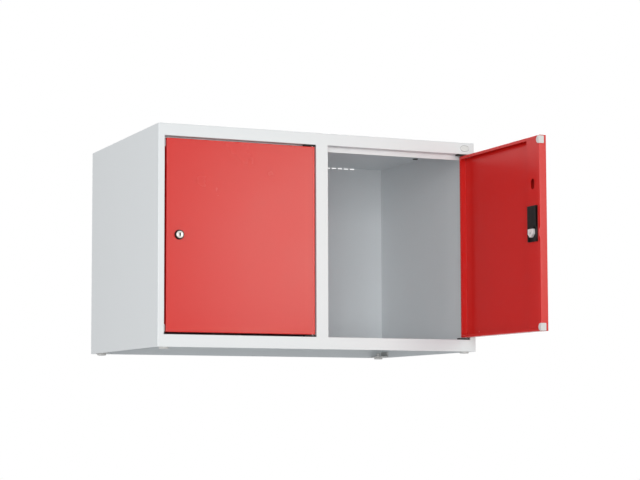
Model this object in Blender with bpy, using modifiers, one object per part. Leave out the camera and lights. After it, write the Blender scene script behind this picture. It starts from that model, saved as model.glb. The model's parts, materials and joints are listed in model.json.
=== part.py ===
"""Locker top cabinet with two compartments, each behind a hinged steel door with a cylinder lock.

Lengths are in metres. Inside the script, X runs to the right, Y to the back and Z up, counted from the
middle of the front lower edge of the box. The empty "cabinet" then sets the whole on its feet.
The left door is shut and the right door stands open.
"""

import math

import bmesh
import bpy
from mathutils import Vector

# Box
WIDTH = 0.800
DEPTH = 0.500
HEIGHT = 0.500
SHEET = 0.001
INNER_BEND = 0.0002
FIT = 0.0003
OVERCUT = 0.001

# Front frame
STILE_WIDTH = 0.015
POST_WIDTH = 0.030
RAIL_HEIGHT = 0.028
STOP_DROP = 0.012
STOP_FLANGE = 0.007

# Floor, vents and roof plugs
FLOOR_FLANGE = 0.010
VENT_WIDTH = 0.013
VENT_HEIGHT = 0.0026
VENT_PITCH = 0.0176
VENT_COUNT = 14
PLUG_RADIUS = 0.006
PLUG_RIM = 0.001
PLUG_HEAD = 0.0015
PLUG_FROM_SIDE = 0.015
PLUG_FROM_FRONT = 0.274

# Feet
FOOT_RADIUS = 0.011
FOOT_HEIGHT = 0.004
FOOT_STEM_RADIUS = 0.004
FOOT_STEM_LENGTH = 0.008
FOOT_FROM_SIDE = 0.021
FOOT_FROM_FRONT = 0.020
BRACKET_MARGIN = 0.002
BRACKET_HEIGHT = 0.014
BRACKET_PLATE = 0.002

# Blank badge
BADGE_WIDTH = 0.025
BADGE_HEIGHT = 0.016
BADGE_PLATE = 0.0008
BADGE_FROM_SIDE = 0.025

# Doors
DOOR_THICKNESS = 0.018
DOOR_END_GAP = 0.005
DOOR_FREE_GAP = 0.0046
DOOR_LIP = 0.007
STIFFENER_WIDTH = 0.0472
SLOT_LENGTH = 0.021
SLOT_WIDTH = 0.012
SLOT_ABOVE_LOCK = 0.1105
TAB_HEIGHT = 0.017
TAB_PROUD = 0.003

# Hinges
PIN_RADIUS = 0.0025
PIN_SETBACK = 0.0064
SWING_CLEARANCE = 0.0005
PIN_PLATE_LENGTH = 0.023
PIN_PLATE_WIDTH = 0.010
PIN_PLATE = 0.0025
BUSH_LENGTH = 0.0286
BUSH_WIDTH = 0.012
BUSH_RUN = 0.0013
BUSH_BLOCK_LENGTH = 0.026
BUSH_WALL = 0.0012
BUSH_BLOCK_HEIGHT = 0.005
RIGHT_DOOR_OPEN = math.radians(90)

# Corner buffers
BUFFER_HEIGHT = 0.017
BUFFER_REACH = 0.010
BUFFER_WRAP = 0.0115
BUFFER_WALL = 0.0012
BUFFER_PAD = 0.0017
BUFFER_CORNER = 0.006
BUFFER_UPPER_INSET = 0.002
BUFFER_LOWER_INSET = 0.0005

# Locks
LOCK_BACKSET = 0.030
ROSETTE_TAPER = 0.0012
ROSETTE_HEIGHT = 0.0062
ROSETTE_WALL = 0.0026
PLUG_CORE_RADIUS = 0.005
BARREL_WALL = 0.002
BARREL_RIM = 0.0006
KEY_SLOT_WIDTH = 0.0034
KEY_SLOT_WALL = 0.0009
KEY_SLOT_DEPTH = 0.010
STUB_RADIUS = 0.0025
CLAMP_NUT_WALL = 0.0027
CLAMP_NUT_LENGTH = 0.004
HUB_WIDTH = 0.020
HUB_ABOVE = 0.0095
HUB_BELOW = 0.009
HUB_UPPER_CUT = 0.0008
HUB_LOWER_CUT = 0.007
HUB_SUNK = 0.002
HUB_PROUD = 0.008
CAM_RUN = 0.0004
CAM_WIDTH = 0.016
CAM_THICKNESS = 0.0015
CAM_CATCH = 0.009
CAM_NUT_FLATS = 0.008
CAM_NUT_LENGTH = 0.0024
CASE_WALL = 0.0012
CASE_HEADROOM = 0.0174
CASE_TAIL = 0.0051
CASE_FREE_MARGIN = 0.0061
CASE_HINGE_MARGIN = 0.0012
CASE_LEG_GAP = 0.021

# Worked out from the sizes above
BEND = SHEET + INNER_BEND
PLUG_HEAD_RADIUS = PLUG_RADIUS + FIT + PLUG_RIM
BUSH_PLATE = DOOR_END_GAP - FIT - BUSH_RUN
BUSH_BLOCK_WIDTH = 2 * (PIN_RADIUS + FIT + BUSH_WALL)
BARREL_RADIUS = PLUG_CORE_RADIUS + FIT + BARREL_WALL
BARREL_FACE_RADIUS = BARREL_RADIUS + FIT + BARREL_RIM
ROSETTE_RADIUS = BARREL_FACE_RADIUS + FIT + ROSETTE_WALL
KEY_SLOT_HEIGHT = 2 * (PLUG_CORE_RADIUS - KEY_SLOT_WALL)
CLAMP_NUT_FLATS = 2 * (BARREL_RADIUS + FIT + CLAMP_NUT_WALL)
HALF_WIDTH = WIDTH / 2
INSIDE_X = HALF_WIDTH - SHEET - FIT
INSIDE_TOP = HEIGHT - SHEET - FIT
OPENING_LOW = RAIL_HEIGHT
OPENING_HIGH = HEIGHT - RAIL_HEIGHT
OPENING_WIDTH = (WIDTH - 2 * STILE_WIDTH - POST_WIDTH) / 2

# The free corner of the hinge edge swings past the frame with a small clearance.
PIN_TO_EDGE = PIN_RADIUS + FIT + SHEET + FIT
SWING_RADIUS = math.hypot(PIN_TO_EDGE - BEND, PIN_SETBACK - BEND) + BEND
PIN_TO_FRAME = SWING_RADIUS + SWING_CLEARANCE
FREE_X = PIN_TO_FRAME - OPENING_WIDTH + DOOR_FREE_GAP
DOOR_LOW = OPENING_LOW + DOOR_END_GAP
DOOR_HIGH = OPENING_HIGH - DOOR_END_GAP
LOCK_HEIGHT = (DOOR_LOW + DOOR_HIGH) / 2
DOOR_FRONT = -PIN_SETBACK
DOOR_BACK = DOOR_FRONT + DOOR_THICKNESS

# Depths behind the door's front face, each stacked on the one before.
STOP_FACE = DOOR_THICKNESS + FIT + BUFFER_PAD + FIT
RETURN_DEPTH = STOP_FACE - FIT
CLAMP_NUT_FACE = SHEET + FIT
HUB_FACE = DOOR_THICKNESS - HUB_SUNK
HUB_END = DOOR_THICKNESS + HUB_PROUD
BARREL_END = HUB_FACE - CAM_RUN
TAB_REACH = DOOR_THICKNESS + TAB_PROUD
STILE_DEPTH = TAB_REACH - FIT
CAM_FACE = TAB_REACH + CAM_RUN
CASE_BASE = DOOR_THICKNESS + FIT
CASE_FLOOR = CASE_BASE + CASE_WALL + FIT
CASE_FACE = CAM_FACE + CAM_THICKNESS + FIT + CASE_WALL
CAM_NUT_FACE = HUB_END - CAM_NUT_LENGTH
CAM_REACH = LOCK_BACKSET + DOOR_FREE_GAP + CAM_CATCH
ROSETTE_FACE = FIT + ROSETTE_HEIGHT
BARREL_FACE = ROSETTE_FACE + FIT
LOCK_X = FREE_X + LOCK_BACKSET

# The corners of the cam's hub sweep a circle that the stiffener and the lock case leave free.
HUB_SWEEP = max(
    math.hypot(HUB_WIDTH / 2, HUB_ABOVE - HUB_UPPER_CUT),
    math.hypot(HUB_WIDTH / 2 - HUB_UPPER_CUT, HUB_ABOVE),
    math.hypot(HUB_WIDTH / 2, HUB_BELOW - HUB_LOWER_CUT),
    math.hypot(HUB_WIDTH / 2 - HUB_LOWER_CUT, HUB_BELOW),
)
HUB_HOLE = HUB_SWEEP + 2 * FIT
CASE_ABOVE = CAM_REACH + CASE_HEADROOM
CASE_BELOW = HUB_HOLE + CASE_TAIL
CASE_TO_FREE_EDGE = HUB_HOLE + CASE_FREE_MARGIN
CASE_TO_HINGE = HUB_HOLE + CASE_HINGE_MARGIN

# The open door reaches furthest forward, and the origin lies under the middle of the whole.
DOOR_SPAN = BUFFER_WALL + FIT - FREE_X
FRONT_REACH = DOOR_SPAN - PIN_SETBACK
ORIGIN_Y = (DEPTH - FRONT_REACH) / 2

# Steps of turned parts, rounded corners and folds, and the share of a half width that a round end takes.
ROUND_STEPS = 24
CORNER_STEPS = 5
FOLD_STEPS = 2
ROUND_END = 0.98

FINISHES = {
    "grey_paint": ((0.73, 0.75, 0.75), 0.45, 0.0),
    "red_paint": ((0.62, 0.028, 0.022), 0.45, 0.0),
    "black_plastic": ((0.02, 0.02, 0.02), 0.5, 0.0),
    "white_plastic": ((0.8, 0.8, 0.79), 0.5, 0.0),
    "nickel": ((0.72, 0.71, 0.69), 0.25, 1.0),
    "zinc_steel": ((0.58, 0.58, 0.57), 0.4, 1.0),
}

SIDES = {
    "left": Vector((-1, 0, 0)),
    "right": Vector((1, 0, 0)),
    "front": Vector((0, -1, 0)),
    "back": Vector((0, 1, 0)),
    "under": Vector((0, 0, -1)),
    "top": Vector((0, 0, 1)),
}


def collection(name):
    """Return the collection of that name, linked to the scene."""
    group = bpy.data.collections.get(name)
    if group is None:
        group = bpy.data.collections.new(name)
        bpy.context.scene.collection.children.link(group)
    return group


def empty(name, location, parent=None, turn=0.0):
    """Add an empty that carries other objects."""
    holder = bpy.data.objects.new(name, None)
    holder.parent = parent
    holder.location = location
    holder.rotation_euler = (0, 0, turn)
    collection("locker_top_cabinet").objects.link(holder)
    return holder


def paint(item, finish):
    """Give a part its own material."""
    colour, roughness, metallic = FINISHES[finish]
    material = bpy.data.materials.new(f"{item.name}_{finish}")
    material.use_nodes = True
    shader = material.node_tree.nodes["Principled BSDF"]
    shader.inputs["Base Color"].default_value = (*colour, 1.0)
    shader.inputs["Roughness"].default_value = roughness
    shader.inputs["Metallic"].default_value = metallic
    item.data.materials.append(material)


def place(name, mesh_data, location, parent, finish):
    """Turn a bmesh into a part, or into a hidden tool where it has no finish."""
    mesh = bpy.data.meshes.new(name)
    mesh_data.to_mesh(mesh)
    mesh_data.free()
    item = bpy.data.objects.new(name, mesh)
    item.parent = parent
    item.location = location
    if finish is None:
        item.hide_render = True
        item.display_type = "WIRE"
        collection("cutting_tools").objects.link(item)
    else:
        collection("locker_top_cabinet").objects.link(item)
        paint(item, finish)
    return item


def box_shape(low, high):
    """Return a box as a bmesh around its own middle, and that middle."""
    low = Vector(low)
    high = Vector(high)
    shape = bmesh.new()
    bmesh.ops.create_cube(shape, size=1.0)
    bmesh.ops.scale(shape, vec=high - low, verts=shape.verts)
    return shape, (low + high) / 2


def edges_along(shape, axis, side=None):
    """Return the edges along one axis, or only those on one side of the shape's middle."""
    direction = Vector([letter == axis for letter in "XYZ"])
    found = []
    for edge in shape.edges:
        first = edge.verts[0].co
        second = edge.verts[1].co
        along = abs((second - first).normalized().dot(direction)) > 0.9
        if along and (side is None or (first + second).dot(SIDES[side]) > 0):
            found.append(edge)
    return found


def bevel(shape, edges, size, steps):
    """Bevel some edges: a flat cut with one step, a round with more."""
    bmesh.ops.bevel(shape, geom=edges, offset=size, segments=steps, profile=0.5, affect="EDGES")


def block(name, low, high, parent, finish=None, round_axis=None, radius=0.0):
    """Add a box, with the four edges along one axis rounded if asked."""
    shape, middle = box_shape(low, high)
    if round_axis is not None:
        bevel(shape, edges_along(shape, round_axis), radius, CORNER_STEPS)
    return place(name, shape, middle, parent, finish)


def rod(name, radius, start, end, parent, finish=None, steps=ROUND_STEPS):
    """Add a cylinder, or a hexagon with six steps, between two points on a line along an axis."""
    start = Vector(start)
    end = Vector(end)
    shape = bmesh.new()
    depth = (end - start).length
    bmesh.ops.create_cone(shape, cap_ends=True, segments=steps, radius1=radius, radius2=radius, depth=depth)
    item = place(name, shape, (start + end) / 2, parent, finish)
    item.rotation_euler = Vector((0, 0, 1)).rotation_difference(end - start).to_euler()
    if finish is not None and steps > 6:
        item.data.shade_smooth()
        item.data.set_sharp_from_angle(angle=math.radians(40))
    return item


def turned(name, profile, location, parent, finish, forward=False):
    """Add a turned part from (radius, height) points, outer side first from the top down.

    A forward part has its height along the door's outward normal.
    """
    shape = bmesh.new()
    points = [shape.verts.new((radius, 0, height)) for radius, height in profile]
    for first, second in zip(points, points[1:]):
        shape.edges.new((first, second))
    if profile[0][0] > 0:
        shape.edges.new((points[-1], points[0]))
    item = place(name, shape, location, parent, finish)
    if forward:
        item.rotation_euler = (math.pi / 2, 0, 0)
    screw = item.modifiers.new("turn", "SCREW")
    screw.steps = ROUND_STEPS
    screw.render_steps = ROUND_STEPS
    screw.use_merge_vertices = True
    screw.merge_threshold = 0.00001
    return item


def folded(name, low, high, sides, parent, finish, wall=SHEET, bend=BEND):
    """Add a folded sheet: the named sides of a box, bent at their shared edges, with an inward wall."""
    shape, middle = box_shape(low, high)
    dropped = []
    for face in shape.faces:
        if not any(face.normal.dot(SIDES[side]) > 0.9 for side in sides):
            dropped.append(face)
    bmesh.ops.delete(shape, geom=dropped, context="FACES")
    folds = [edge for edge in shape.edges if len(edge.link_faces) == 2]
    bevel(shape, folds, bend, FOLD_STEPS)
    item = place(name, shape, middle, parent, finish)
    thicken(item, wall)
    return item


def thicken(item, wall):
    """Give an open surface a wall on its inner side."""
    solid = item.modifiers.new("wall", "SOLIDIFY")
    solid.thickness = wall
    solid.offset = -1.0
    solid.use_even_offset = True


def combine(item, tool, operation):
    """Cut a tool out of a part, or join it on."""
    change = item.modifiers.new(tool.name, "BOOLEAN")
    change.operation = operation
    change.object = tool


def cut(item, tool):
    """Cut a tool out of a part."""
    combine(item, tool, "DIFFERENCE")


def join(item, tool):
    """Join a tool to a part as one body."""
    combine(item, tool, "UNION")


def make_panels(cabinet):
    """Make the outer sheets of the box and the wall between the compartments."""
    for side, name in ((-1, "left_side_panel"), (1, "right_side_panel")):
        edges = sorted((side * HALF_WIDTH, side * (HALF_WIDTH - SHEET)))
        block(name, (edges[0], 0, 0), (edges[1], DEPTH, INSIDE_TOP), cabinet, "grey_paint")

    low = (-HALF_WIDTH, 0, HEIGHT - SHEET)
    top = block("top_panel", low, (HALF_WIDTH, DEPTH, HEIGHT), cabinet, "grey_paint")

    low = (-INSIDE_X, DEPTH - SHEET, 0)
    back = block("back_panel", low, (INSIDE_X, DEPTH, INSIDE_TOP), cabinet, "grey_paint")
    cut(back, vent_tool(cabinet))

    low = (-INSIDE_X, RETURN_DEPTH + FIT, RAIL_HEIGHT - FLOOR_FLANGE)
    high = (INSIDE_X, DEPTH - SHEET - FIT, RAIL_HEIGHT)
    folded("floor_panel", low, high, ("top", "front", "back", "left", "right"), cabinet, "grey_paint")

    low = (-SHEET / 2, SHEET + FIT, RAIL_HEIGHT + FIT)
    high = (SHEET / 2, DEPTH - SHEET - FIT, INSIDE_TOP)
    partition = block("partition", low, high, cabinet, "grey_paint")
    low = (-SHEET / 2 - OVERCUT, 0, OPENING_HIGH - FIT)
    high = (SHEET / 2 + OVERCUT, STOP_FACE + SHEET + FIT, HEIGHT)
    cut(partition, block("partition_notch", low, high, cabinet))

    for side, name in ((-1, "left_roof_plug"), (1, "right_roof_plug")):
        x = side * (HALF_WIDTH - PLUG_FROM_SIDE)
        make_roof_plug(name, x, top, cabinet)


def vent_tool(cabinet):
    """Return one tool with a notch for each vent in the upper edge of the back sheet."""
    shape = bmesh.new()
    row = (VENT_COUNT - 1) * VENT_PITCH
    for side in (-1, 1):
        middle = side * (POST_WIDTH + OPENING_WIDTH) / 2
        for number in range(VENT_COUNT):
            x = middle - row / 2 + number * VENT_PITCH
            made = bmesh.ops.create_cube(shape, size=1.0)
            size = (VENT_WIDTH, SHEET + 2 * OVERCUT, 2 * VENT_HEIGHT)
            bmesh.ops.scale(shape, vec=size, verts=made["verts"])
            bmesh.ops.translate(shape, vec=(x, 0, 0), verts=made["verts"])
    return place("vent_notches", shape, (0, DEPTH - SHEET / 2, INSIDE_TOP), cabinet, None)


def make_roof_plug(name, x, top, cabinet):
    """Make a plug whose head lies under the roof, and the hole that it sits in."""
    hole_low = (x, PLUG_FROM_FRONT, HEIGHT - SHEET - OVERCUT)
    hole_high = (x, PLUG_FROM_FRONT, HEIGHT + OVERCUT)
    cut(top, rod(f"{name}_hole", PLUG_RADIUS + FIT, hole_low, hole_high, cabinet))
    under = HEIGHT - SHEET - FIT
    profile = (
        (0, HEIGHT - FIT),
        (PLUG_RADIUS, HEIGHT - FIT),
        (PLUG_RADIUS, under),
        (PLUG_HEAD_RADIUS, under),
        (PLUG_HEAD_RADIUS, under - PLUG_HEAD),
        (0, under - PLUG_HEAD),
    )
    turned(name, profile, (x, PLUG_FROM_FRONT, 0), cabinet, "black_plastic")


def make_front_frame(cabinet):
    """Make the stiles, the post, the rails with their bush slots, and the door stops."""
    stile_inner = HALF_WIDTH - STILE_WIDTH
    low_z = OPENING_LOW + FIT
    high_z = OPENING_HIGH - FIT
    low = (-INSIDE_X, 0, low_z)
    folded("left_stile", low, (-stile_inner, STILE_DEPTH, high_z), ("front", "right"), cabinet, "grey_paint")
    low = (stile_inner, 0, low_z)
    folded("right_stile", low, (INSIDE_X, STILE_DEPTH, high_z), ("front", "left"), cabinet, "grey_paint")
    low = (-POST_WIDTH / 2, 0, low_z)
    high = (POST_WIDTH / 2, STILE_DEPTH, high_z)
    folded("centre_post", low, high, ("front", "left", "right"), cabinet, "grey_paint")

    low = (-INSIDE_X, 0, OPENING_HIGH)
    high = (INSIDE_X, RETURN_DEPTH, INSIDE_TOP)
    top_rail = folded("top_rail", low, high, ("top", "front", "under"), cabinet, "grey_paint")
    low = (-INSIDE_X, 0, 0)
    high = (INSIDE_X, RETURN_DEPTH, OPENING_LOW)
    bottom_rail = folded("bottom_rail", low, high, ("front", "top"), cabinet, "grey_paint")
    for rail, level in ((top_rail, OPENING_HIGH), (bottom_rail, OPENING_LOW)):
        for number, x in enumerate(bush_places()):
            tool_name = f"{rail.name}_slot_{number + 1}"
            reach = SHEET + OVERCUT
            cut(rail, bush_block(tool_name, x, level - reach, level + reach, FIT, cabinet))

    for name, inner in (("left_door_stop", -stile_inner), ("right_door_stop", POST_WIDTH / 2)):
        stop_high = OPENING_HIGH + SHEET + FIT + SHEET
        low = (inner + FIT, STOP_FACE + SHEET - STOP_FLANGE, OPENING_HIGH - STOP_DROP)
        high = (inner + OPENING_WIDTH - FIT, STOP_FACE + SHEET, stop_high)
        folded(name, low, high, ("back", "top"), cabinet, "grey_paint")

    x = HALF_WIDTH - BADGE_FROM_SIDE
    z = HEIGHT - RAIL_HEIGHT / 2
    low = (x - BADGE_WIDTH / 2, -FIT - BADGE_PLATE, z - BADGE_HEIGHT / 2)
    high = (x + BADGE_WIDTH / 2, -FIT, z + BADGE_HEIGHT / 2)
    block("blank_badge", low, high, cabinet, "nickel", "Y", BADGE_HEIGHT / 2 * ROUND_END)


def bush_places():
    """Return the middle of each bush slot: at both ends of both openings, so a door can hang either way."""
    outer = HALF_WIDTH - STILE_WIDTH - BUSH_LENGTH / 2 - FIT
    inner = POST_WIDTH / 2 + BUSH_LENGTH / 2 + FIT
    return (-outer, -inner, inner, outer)


def bush_block(name, x, low_z, high_z, room, cabinet):
    """Add the long round-ended block of a bush as a tool, with some room around it."""
    half_length = BUSH_BLOCK_LENGTH / 2 + room
    half_width = BUSH_BLOCK_WIDTH / 2 + room
    low = (x - half_length, PIN_SETBACK - half_width, low_z)
    high = (x + half_length, PIN_SETBACK + half_width, high_z)
    return block(name, low, high, cabinet, None, "Z", half_width * ROUND_END)


def make_bush(name, x, pin_x, level, up, cabinet):
    """Make a hinge bush: a plate on the rail's return, a block in its slot and a bore for the pin."""
    seat = level - up * FIT
    face = seat - up * BUSH_PLATE
    tip = seat + up * BUSH_BLOCK_HEIGHT
    low_z = min(seat, face)
    low = (x - BUSH_LENGTH / 2, PIN_SETBACK - BUSH_WIDTH / 2 + SHEET, low_z)
    high = (x + BUSH_LENGTH / 2, PIN_SETBACK + BUSH_WIDTH / 2 + SHEET, low_z + BUSH_PLATE)
    bush = block(name, low, high, cabinet, "black_plastic", "Z", SHEET)
    inside = (seat + face) / 2
    join(bush, bush_block(f"{name}_block", x, min(inside, tip), max(inside, tip), 0, cabinet))
    start = (pin_x, PIN_SETBACK, face - up * OVERCUT)
    end = (pin_x, PIN_SETBACK, tip + up * OVERCUT)
    cut(bush, rod(f"{name}_bore", PIN_RADIUS + FIT, start, end, cabinet))


def make_feet(cabinet):
    """Make a foot and its bracket in each lower corner."""
    plate_low = SHEET + FIT
    plate_high = plate_low + BRACKET_PLATE
    half_length = FOOT_FROM_FRONT - SHEET - FIT
    for side, across in ((-1, "left"), (1, "right")):
        x = side * (HALF_WIDTH - FOOT_FROM_SIDE)
        wall = side * INSIDE_X
        edge = x - side * (FOOT_RADIUS + BRACKET_MARGIN)
        for y, along in ((FOOT_FROM_FRONT, "front"), (DEPTH - FOOT_FROM_FRONT, "rear")):
            name = f"{along}_{across}_foot"
            low = (min(wall, edge), y - half_length, plate_low)
            high = (max(wall, edge), y + half_length, plate_low + BRACKET_HEIGHT)
            bracket = folded(
                f"{name}_bracket", low, high, ("under", across), cabinet, "zinc_steel",
                BRACKET_PLATE, BRACKET_PLATE + INNER_BEND,
            )
            start = (x, y, 0)
            end = (x, y, plate_high + OVERCUT)
            cut(bracket, rod(f"{name}_hole", FOOT_STEM_RADIUS + FIT, start, end, cabinet))
            stem_top = plate_high + FOOT_STEM_LENGTH
            profile = (
                (0, stem_top),
                (FOOT_STEM_RADIUS, stem_top),
                (FOOT_STEM_RADIUS, SHEET),
                (FOOT_RADIUS, SHEET),
                (FOOT_RADIUS, SHEET - FOOT_HEIGHT),
                (FOOT_RADIUS - SHEET, -FOOT_HEIGHT),
                (0, -FOOT_HEIGHT),
            )
            turned(name, profile, (x, y, 0), cabinet, "white_plastic")


def make_door_panel(hand, axis):
    """Make the folded door pan with its lips, its lock hole, its pin holes and the tab beside the cam."""
    shape, middle = box_shape((FREE_X, DOOR_FRONT, DOOR_LOW), (PIN_TO_EDGE, DOOR_BACK, DOOR_HIGH))
    bevel(shape, shape.edges[:], BEND, FOLD_STEPS)
    rear = max(shape.faces, key=lambda face: face.calc_area() * face.normal.y)
    bmesh.ops.inset_region(shape, faces=[rear], thickness=DOOR_LIP - BEND, use_even_offset=True)
    bmesh.ops.delete(shape, geom=[rear], context="FACES_ONLY")
    panel = place(f"{hand}_door_panel", shape, middle, axis, "red_paint")
    thicken(panel, SHEET)

    low = (FREE_X + INNER_BEND, DOOR_BACK - BEND, LOCK_HEIGHT - TAB_HEIGHT / 2)
    high = (FREE_X + INNER_BEND + SHEET, DOOR_FRONT + TAB_REACH, LOCK_HEIGHT + TAB_HEIGHT / 2)
    join(panel, block(f"{hand}_lock_tab", low, high, axis))

    start = (LOCK_X, DOOR_FRONT - OVERCUT, LOCK_HEIGHT)
    end = (LOCK_X, DOOR_FRONT + SHEET + OVERCUT, LOCK_HEIGHT)
    cut(panel, rod(f"{hand}_door_lock_hole", BARREL_RADIUS + FIT, start, end, axis))
    for level in (DOOR_LOW, DOOR_HIGH):
        start = (0, 0, level - SHEET - OVERCUT)
        end = (0, 0, level + SHEET + OVERCUT)
        cut(panel, rod(f"{hand}_pin_hole", PIN_RADIUS + FIT, start, end, axis))


def make_stiffener(hand, axis):
    """Make the full-height channel behind the lock side, between the lips of the door pan."""
    free_side = FREE_X + DOOR_LIP + FIT
    low = (free_side, DOOR_FRONT + SHEET + FIT, DOOR_LOW + DOOR_LIP + FIT)
    high = (free_side + STIFFENER_WIDTH, DOOR_BACK, DOOR_HIGH - DOOR_LIP - FIT)
    channel = folded(f"{hand}_door_stiffener", low, high, ("left", "right", "back"), axis, "red_paint")

    near = DOOR_BACK - SHEET - OVERCUT
    far = DOOR_BACK + OVERCUT
    start = (LOCK_X, near, LOCK_HEIGHT)
    end = (LOCK_X, far, LOCK_HEIGHT)
    cut(channel, rod(f"{hand}_stiffener_lock_hole", HUB_HOLE, start, end, axis))
    z = LOCK_HEIGHT + SLOT_ABOVE_LOCK
    low = (LOCK_X - SLOT_WIDTH / 2, near, z - SLOT_LENGTH / 2)
    high = (LOCK_X + SLOT_WIDTH / 2, far, z + SLOT_LENGTH / 2)
    cut(channel, block(f"{hand}_stiffener_slot", low, high, axis, None, "Y", SLOT_WIDTH / 2 * ROUND_END))


def make_hinge_pin(name, level, up, axis):
    """Make a pin on its plate under the door's end flange, reaching through the bush."""
    seat = level - up * (SHEET + FIT)
    foot = seat - up * PIN_PLATE
    tip = level + up * (DOOR_END_GAP + BUSH_BLOCK_HEIGHT - FIT)
    low_x = PIN_TO_EDGE - SHEET - FIT - PIN_PLATE_LENGTH
    low_y = DOOR_FRONT + SHEET + FIT
    low = (low_x, low_y, min(seat, foot))
    high = (low_x + PIN_PLATE_LENGTH, low_y + PIN_PLATE_WIDTH, max(seat, foot))
    plate = block(name, low, high, axis, "zinc_steel")
    join(plate, rod(f"{name}_rod", PIN_RADIUS, (0, 0, (seat + foot) / 2), (0, 0, tip), axis))


def make_buffer(name, level, up, inset, axis):
    """Make a white cap over the inner free corner of the door, rounded towards the hinge."""
    end = level - up * inset
    start = end - up * BUFFER_HEIGHT
    low = (FREE_X - FIT - BUFFER_WALL, DOOR_BACK - BUFFER_WRAP, min(start, end))
    high = (FREE_X + BUFFER_REACH, DOOR_BACK + FIT + BUFFER_PAD, max(start, end))
    shape, middle = box_shape(low, high)
    bevel(shape, edges_along(shape, "Y", "right"), BUFFER_CORNER, CORNER_STEPS)
    cap = place(name, shape, middle, axis, "white_plastic")
    low = (FREE_X - FIT, DOOR_FRONT - FIT, DOOR_LOW - FIT)
    high = (PIN_TO_EDGE, DOOR_BACK + FIT, DOOR_HIGH + FIT)
    cut(cap, block(f"{name}_corner", low, high, axis))


def make_lock_housing(hand, lock):
    """Make the fixed lock pieces: rosette, barrel, clamp nut and case. Depth runs back from the face.

    The case is open round the hub and towards the free edge, and its face ends in two legs below.
    """
    hole = BARREL_FACE_RADIUS + FIT
    tip = ROSETTE_RADIUS - ROSETTE_TAPER
    profile = (
        (tip - ROSETTE_TAPER / 2, ROSETTE_FACE),
        (tip, ROSETTE_FACE - ROSETTE_TAPER / 2),
        (ROSETTE_RADIUS, FIT),
        (hole, FIT),
        (hole, ROSETTE_FACE),
    )
    turned(f"{hand}_lock_rosette", profile, (0, 0, 0), lock, "black_plastic", True)

    bore = PLUG_CORE_RADIUS + FIT
    profile = (
        (BARREL_FACE_RADIUS, BARREL_FACE),
        (BARREL_FACE_RADIUS, FIT),
        (BARREL_RADIUS, FIT),
        (BARREL_RADIUS, -BARREL_END),
        (bore, -BARREL_END),
        (bore, BARREL_FACE),
    )
    turned(f"{hand}_lock_barrel", profile, (0, 0, 0), lock, "nickel", True)

    name = f"{hand}_lock_clamp_nut"
    nut = hexagon(name, CLAMP_NUT_FLATS, CLAMP_NUT_FACE, CLAMP_NUT_LENGTH, lock, "zinc_steel")
    nut_end = CLAMP_NUT_FACE + CLAMP_NUT_LENGTH
    bore_out(nut, "bore", BARREL_RADIUS + FIT, CLAMP_NUT_FACE - OVERCUT, nut_end + OVERCUT, lock)

    name = f"{hand}_lock_case"
    low = (-CASE_TO_FREE_EDGE, CASE_BASE, -CASE_BELOW)
    high = (CASE_TO_HINGE, CASE_FACE, CASE_ABOVE)
    walls = ("front", "back", "right", "top", "under")
    case = folded(name, low, high, walls, lock, "black_plastic", CASE_WALL, CASE_WALL + INNER_BEND)
    bore_out(case, "hub_hole", HUB_HOLE, CASE_BASE - OVERCUT, CASE_FACE + OVERCUT, lock)
    low = (-CASE_TO_FREE_EDGE - OVERCUT, CASE_FLOOR, -HUB_BELOW)
    high = (0, CASE_FACE + OVERCUT, HUB_HOLE)
    cut(case, block(f"{name}_window", low, high, lock))
    low = (-CASE_LEG_GAP / 2, CASE_FLOOR, -CASE_BELOW - OVERCUT)
    high = (CASE_LEG_GAP / 2, CASE_FACE + OVERCUT, 0)
    cut(case, block(f"{name}_leg_gap", low, high, lock))


def hexagon(name, flats, depth, length, lock, finish):
    """Add a hexagon nut across the lock axis with a corner pointing down."""
    corner = flats / math.sqrt(3)
    return rod(name, corner, (0, depth + length, 0), (0, depth, 0), lock, finish, 6)


def bore_out(item, label, radius, near, far, lock):
    """Cut a round hole along the lock axis between two depths."""
    cut(item, rod(f"{item.name}_{label}", radius, (0, near, 0), (0, far, 0), lock))


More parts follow.
